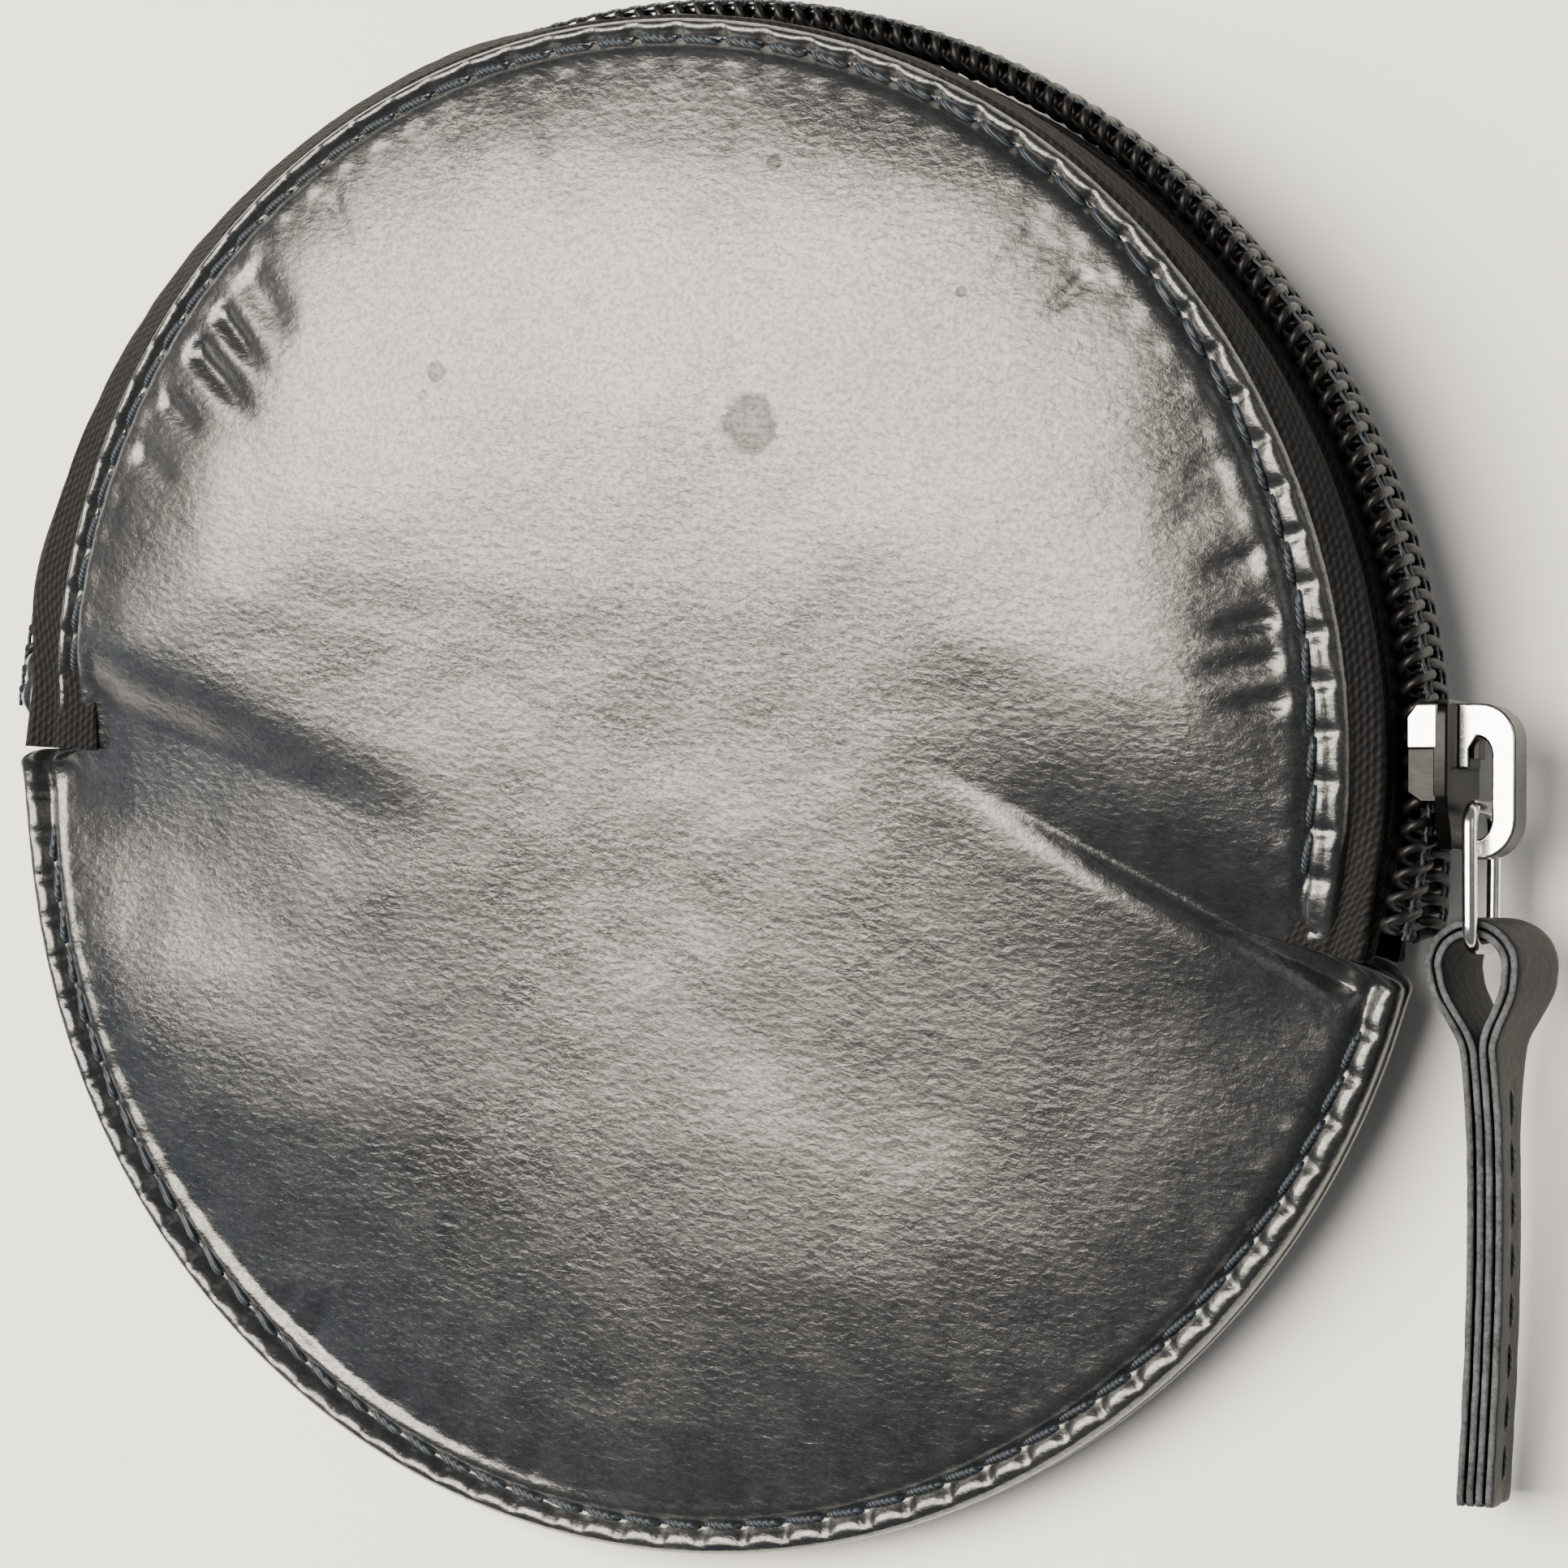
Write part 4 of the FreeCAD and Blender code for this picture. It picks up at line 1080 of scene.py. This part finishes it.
def crown_piece():
    points, faces = extruded(crown_outline(), -CROWN_WIDTH / 2, CROWN_WIDTH / 2, from_side)
    piece = fixed_normals(new_piece("slider_cap", on_slider(points), faces, NICKEL_PAINTED_SHADE))
    # painted shade: faces turned up or down keep plain nickel, all other crown faces get the nickel darkened
    # to near black
    piece.data.materials.append(NICKEL)
    for polygon in piece.data.polygons:
        if abs(polygon.normal.z) > 0.9:
            polygon.material_index = 1
    return bevelled(piece, 0.28, segments=4)


def make_slider():
    placed(slider_body_piece(), "slider", "bright_metal", "slider_body")
    placed(crown_piece(), "slider", "bright_metal", "slider_crown")
    spring = frame["nodes"]["slider_lock_spring"]
    # the lock spring gets the nickel darkened as painted shade too
    spring.data.materials.clear()
    spring.data.materials.append(NICKEL_PAINTED_SHADE)


# ---------------------------------------------------------------- link and strap

LINK_RADIUS = 52.85
LINK_TOP = -1.9
LINK_LENGTH = 8.3
LINK_WIDTH = 6.1
WIRE = 0.9
STRAP_WIDTH = 4.6
STRAP_LENGTH = 32.4
STRAP_NECK = 5.2
STRAP_LOOP = 1.2
LOOP_BULGE = 0.55
STRAP_SHIFT = 0.35
STRAP_TWIST = 0.3
TWIST_REACH = 11.0
PLY = 0.57


def rounded_loop(corners, radius, steps):
    """Closed 2-D path through a box's corners with round bends."""
    path = []
    for index, corner in enumerate(corners):
        corner = np.array(corner, float)
        before = np.array(corners[index - 1], float) - corner
        after = np.array(corners[(index + 1) % len(corners)], float) - corner
        before /= np.linalg.norm(before)
        after /= np.linalg.norm(after)
        centre = corner + (before + after) * radius
        start = np.arctan2(*(-after)[::-1])
        end = np.arctan2(*(-before)[::-1])
        sweep = (end - start + math.pi) % (2 * math.pi) - math.pi
        for share in np.linspace(0, 1, steps):
            angle = start + sweep * share
            path.append(centre + radius * np.array([math.cos(angle), math.sin(angle)]))
    return np.array(path)


def link_piece():
    top = LINK_TOP
    low = LINK_TOP - LINK_LENGTH
    half = LINK_WIDTH / 2
    corners = [(top, half), (low, half * 0.92), (low, -half * 0.92), (top, -half)]
    flat = rounded_loop(corners, 1.3, 11)
    path = np.stack([np.full(len(flat), LINK_RADIUS), flat[:, 0], flat[:, 1]], -1)
    hints = np.tile([1.0, 0.0, 0.0], (len(path), 1))
    points, faces = swept_tube(path, WIRE / 2, WIRE / 2, hints, 16, closed=True)
    return fixed_normals(new_piece("wire_link", on_slider(points), faces, NICKEL))


def ply_path(loop_radius, half_gap):
    """Centre line of one folded ply: down one leg, round the link's bar and down the other leg."""
    turn = np.linspace(math.radians(-14), math.radians(194), 46)
    loop = np.stack([loop_radius * np.cos(turn), loop_radius * np.sin(turn)], -1)
    neck_share = np.linspace(0, 1, 16)[1:]
    ease = smooth_step(neck_share)
    start = loop[0]
    neck_x = start[0] + (half_gap - start[0]) * ease
    neck_y = start[1] + (-STRAP_NECK - start[1]) * neck_share
    leg_y = np.linspace(-STRAP_NECK, -STRAP_LENGTH + LOOP_BULGE, 120)[1:]
    right = np.concatenate([
        np.stack([neck_x, neck_y], -1),
        np.stack([np.full(len(leg_y), half_gap), leg_y], -1),
    ])
    left = right * np.array([-1.0, 1.0])
    return np.concatenate([right[::-1], loop, left])


def strap_bow(along):
    """Slight lasting bend of the strap sideways, in mm, at a distance below its fold."""
    share = np.clip(along / STRAP_LENGTH, 0, 1)
    return 0.55 * np.sin(math.pi * share) - 0.15 * share


def at_fold(points):
    """Move strap points to the link's lower bar."""
    low = LINK_TOP - LINK_LENGTH - STRAP_LOOP - LOOP_BULGE + WIRE / 2 + 0.15
    moved = np.asarray(points, float) + np.array([LINK_RADIUS + STRAP_SHIFT, low, 0.0])
    turned = smooth_step((moved[..., 1] - low + TWIST_REACH) / TWIST_REACH)
    moved[..., 0] += STRAP_TWIST * turned * (0.9 - moved[..., 2])
    return on_slider(moved)


def ply_piece(name, loop_radius, half_gap, seed):
    """One leather ply: a band swept along its folded path, with a soft uneven cut edge."""
    path = ply_path(loop_radius, half_gap)
    tangent = np.gradient(path, axis=0)
    tangent /= np.linalg.norm(tangent, axis=1, keepdims=True)
    normal = np.stack([tangent[:, 1], -tangent[:, 0]], -1)
    width_points = np.linspace(-1, 1, 19)
    rows = []
    for centre, outward in zip(path, normal):
        below = -centre[1]
        edge_noise = noise.noise(Vector((below * 0.9, centre[0], seed))) * 0.10
        half_width = STRAP_WIDTH / 2 + edge_noise
        tip = max(0.0, (below - (STRAP_LENGTH - 1.4)) / 1.4)
        half_width -= 0.75 * tip ** 2
        stitched = 1.0 if below > STRAP_NECK + 1.5 else 0.0
        dent = np.exp(-((width_points * STRAP_WIDTH / 2) / 0.55) ** 2) * 0.10 * stitched
        crown = 0.06 * (1 - width_points ** 2)
        wave = 0.03 * noise.noise(Vector((below * 0.5, seed, 2.0)))
        outer = PLY / 2 - 0.012 + crown * 0.5 - dent + wave - 0.10 * np.abs(width_points) ** 8
        inner = -PLY / 2 + 0.012 + 0.06 * np.abs(width_points[::-1]) ** 8
        z = np.concatenate([width_points * half_width, width_points[::-1] * half_width])
        lift = np.concatenate([outer, inner])
        bow = strap_bow(below)
        ring = np.stack([
            centre[0] + outward[0] * lift + bow,
            centre[1] + outward[1] * lift,
            z,
        ], -1)
        rows.append(ring)
    columns = len(rows[0])
    points = np.concatenate(rows)
    faces = grid_faces(len(rows), columns, closed_columns=True) + end_caps(len(rows), columns)
    piece = fixed_normals(new_piece(name, at_fold(points), faces, STRAP_FACE))
    piece.data.materials.append(CUT_EDGE)
    side = len(width_points)
    for polygon in piece.data.polygons:
        ring_places = {vertex % columns for vertex in polygon.vertices}
        at_edge = ring_places <= {0, columns - 1} or ring_places <= {side - 1, side}
        if at_edge or len(polygon.vertices) > 4:
            polygon.material_index = 1
    return piece


def strap_thread_piece():
    """Stitches down the middle of both broad faces."""
    parts = MeshParts()
    face = 2 * PLY + 0.03
    place = 7.2
    while place < STRAP_LENGTH - STITCH_PITCH:
        for side in (-1, 1):
            share = np.linspace(0, 1, 9)
            dip = np.abs(2 * share - 1) ** 4
            below = place + share * 2.5
            x = side * (face - 0.04 - dip * 0.3) + strap_bow(below)
            path = np.stack([x, -below, 0.08 * side * (share - 0.5)], -1)
            hints = np.tile([float(side), 0.0, 0.0], (len(path), 1))
            points, faces = swept_tube(path, THREAD * 0.45, THREAD * 0.36, hints, 8)
            parts.add(at_fold(points), faces)
        place += STITCH_PITCH
    return fixed_normals(parts.piece("strap_stitches", THREAD_MATERIAL))


def make_pull():
    placed(link_piece(), "pull_link", "bright_metal", "pull_link")
    outer = ply_piece("strap_outer_ply", STRAP_LOOP + LOOP_BULGE + 1.5 * PLY + 0.02, 1.5 * PLY + 0.03, 4.0)
    placed(outer, "pull_strap", "strap_leather", "strap_outer_leather")
    inner = ply_piece("strap_inner_ply", STRAP_LOOP + LOOP_BULGE + 0.5 * PLY, 0.5 * PLY + 0.01, 9.0)
    placed(inner, "pull_strap", "strap_leather", "strap_inner_leather")
    placed(strap_thread_piece(), "pull_strap", "thread", "strap_thread")


# ---------------------------------------------------------------- bottom stop


STOP_HALF_LENGTH = 2.3
STOP_HALF_WIDTH = 3.3
STOP_EDGE = 48.75
STOP_DOME = 1.35
STOP_HUMP = 0.42
STOP_UNDER = 47.4


def stop_piece():
    """Glossy clip at the chain's left end, with two rounded humps over the coil rows."""
    along = np.linspace(-STOP_HALF_LENGTH, STOP_HALF_LENGTH, 41)
    across = np.linspace(-STOP_HALF_WIDTH, STOP_HALF_WIDTH, 41)
    points = []
    for u in along:
        for v in across:
            wave = math.sin((u + STOP_HALF_LENGTH) / (2 * STOP_HALF_LENGTH) * 2 * math.pi)
            hump = STOP_HUMP * abs(wave) ** 0.8
            shoulder = (1 - abs(u / STOP_HALF_LENGTH) ** 5) * (1 - abs(v / STOP_HALF_WIDTH) ** 4)
            points.append((STOP_EDGE + (STOP_DOME + hump) * max(shoulder, 0.0) ** 0.6, u, v))
    rows = len(along)
    columns = len(across)
    top = np.array(points)
    under = top.copy()
    under[:, 0] = STOP_UNDER
    faces = grid_faces(rows, columns) + grid_faces(rows, columns, start=rows * columns, flip=True)
    border = list(range(columns))
    border += [r * columns + columns - 1 for r in range(1, rows)]
    border += [(rows - 1) * columns + c for c in range(columns - 2, -1, -1)]
    border += [r * columns for r in range(rows - 2, 0, -1)]
    for index, vertex in enumerate(border):
        following = border[(index + 1) % len(border)]
        faces.append((vertex, following, following + rows * columns, vertex + rows * columns))
    piece = new_piece("bottom_stop", rotated_z(np.concatenate([top, under]), 180.0), faces, ENAMEL)
    return fixed_normals(piece)


def make_stop():
    placed(stop_piece(), "purse_body", "stop_metal", "zip_bottom_stop")


# ---------------------------------------------------------------- floor and light


def make_floor():
    mesh = bpy.data.meshes.new("floor")
    reach = 3.0
    corners = [(-reach, -reach, 0), (reach, -reach, 0), (reach, reach, 0), (-reach, reach, 0)]
    mesh.from_pydata(corners, [], [(0, 1, 2, 3)])
    mesh.materials.append(floor_material())
    floor = bpy.data.objects.new("floor", mesh)
    bpy.context.scene.collection.objects.link(floor)


def area_light(name, direction, distance, width, height, radiance, colour):
    """Softbox of a given brightness that faces the purse."""
    data = bpy.data.lights.new(name, "AREA")
    data.shape = "RECTANGLE"
    data.size = width
    data.size_y = height
    data.energy = radiance * width * height * math.pi
    data.color = colour
    light = bpy.data.objects.new(name, data)
    bpy.context.scene.collection.objects.link(light)
    direction = Vector(direction).normalized()
    light.location = direction * distance
    light.rotation_euler = direction.to_track_quat("Z", "Y").to_euler()


def make_light():
    area_light(
        "key", direction=(-0.40, -0.01, 0.91), distance=0.6, width=0.40, height=0.66, radiance=17.0,
        colour=(1.0, 0.93, 0.80),
    )
    area_light(
        "left_blue", direction=(-0.85, -0.5, 0.35), distance=0.7, width=0.3, height=0.3, radiance=0.3,
        colour=(0.45, 0.68, 1.0),
    )
    area_light(
        "right_fill", direction=(0.75, 0.35, 0.55), distance=0.8, width=0.4, height=0.4, radiance=0.8,
        colour=(1.0, 0.98, 0.95),
    )
    world = bpy.data.worlds.new("studio")
    world.use_nodes = True
    world.node_tree.nodes["Background"].inputs["Color"].default_value = (0.95, 0.97, 1.0, 1.0)
    world.node_tree.nodes["Background"].inputs["Strength"].default_value = 0.17
    bpy.context.scene.world = world


# ---------------------------------------------------------------- build

make_camera()
make_panels()
make_stitches()
make_zip()
make_slider()
make_pull()
make_stop()
make_floor()
make_light()
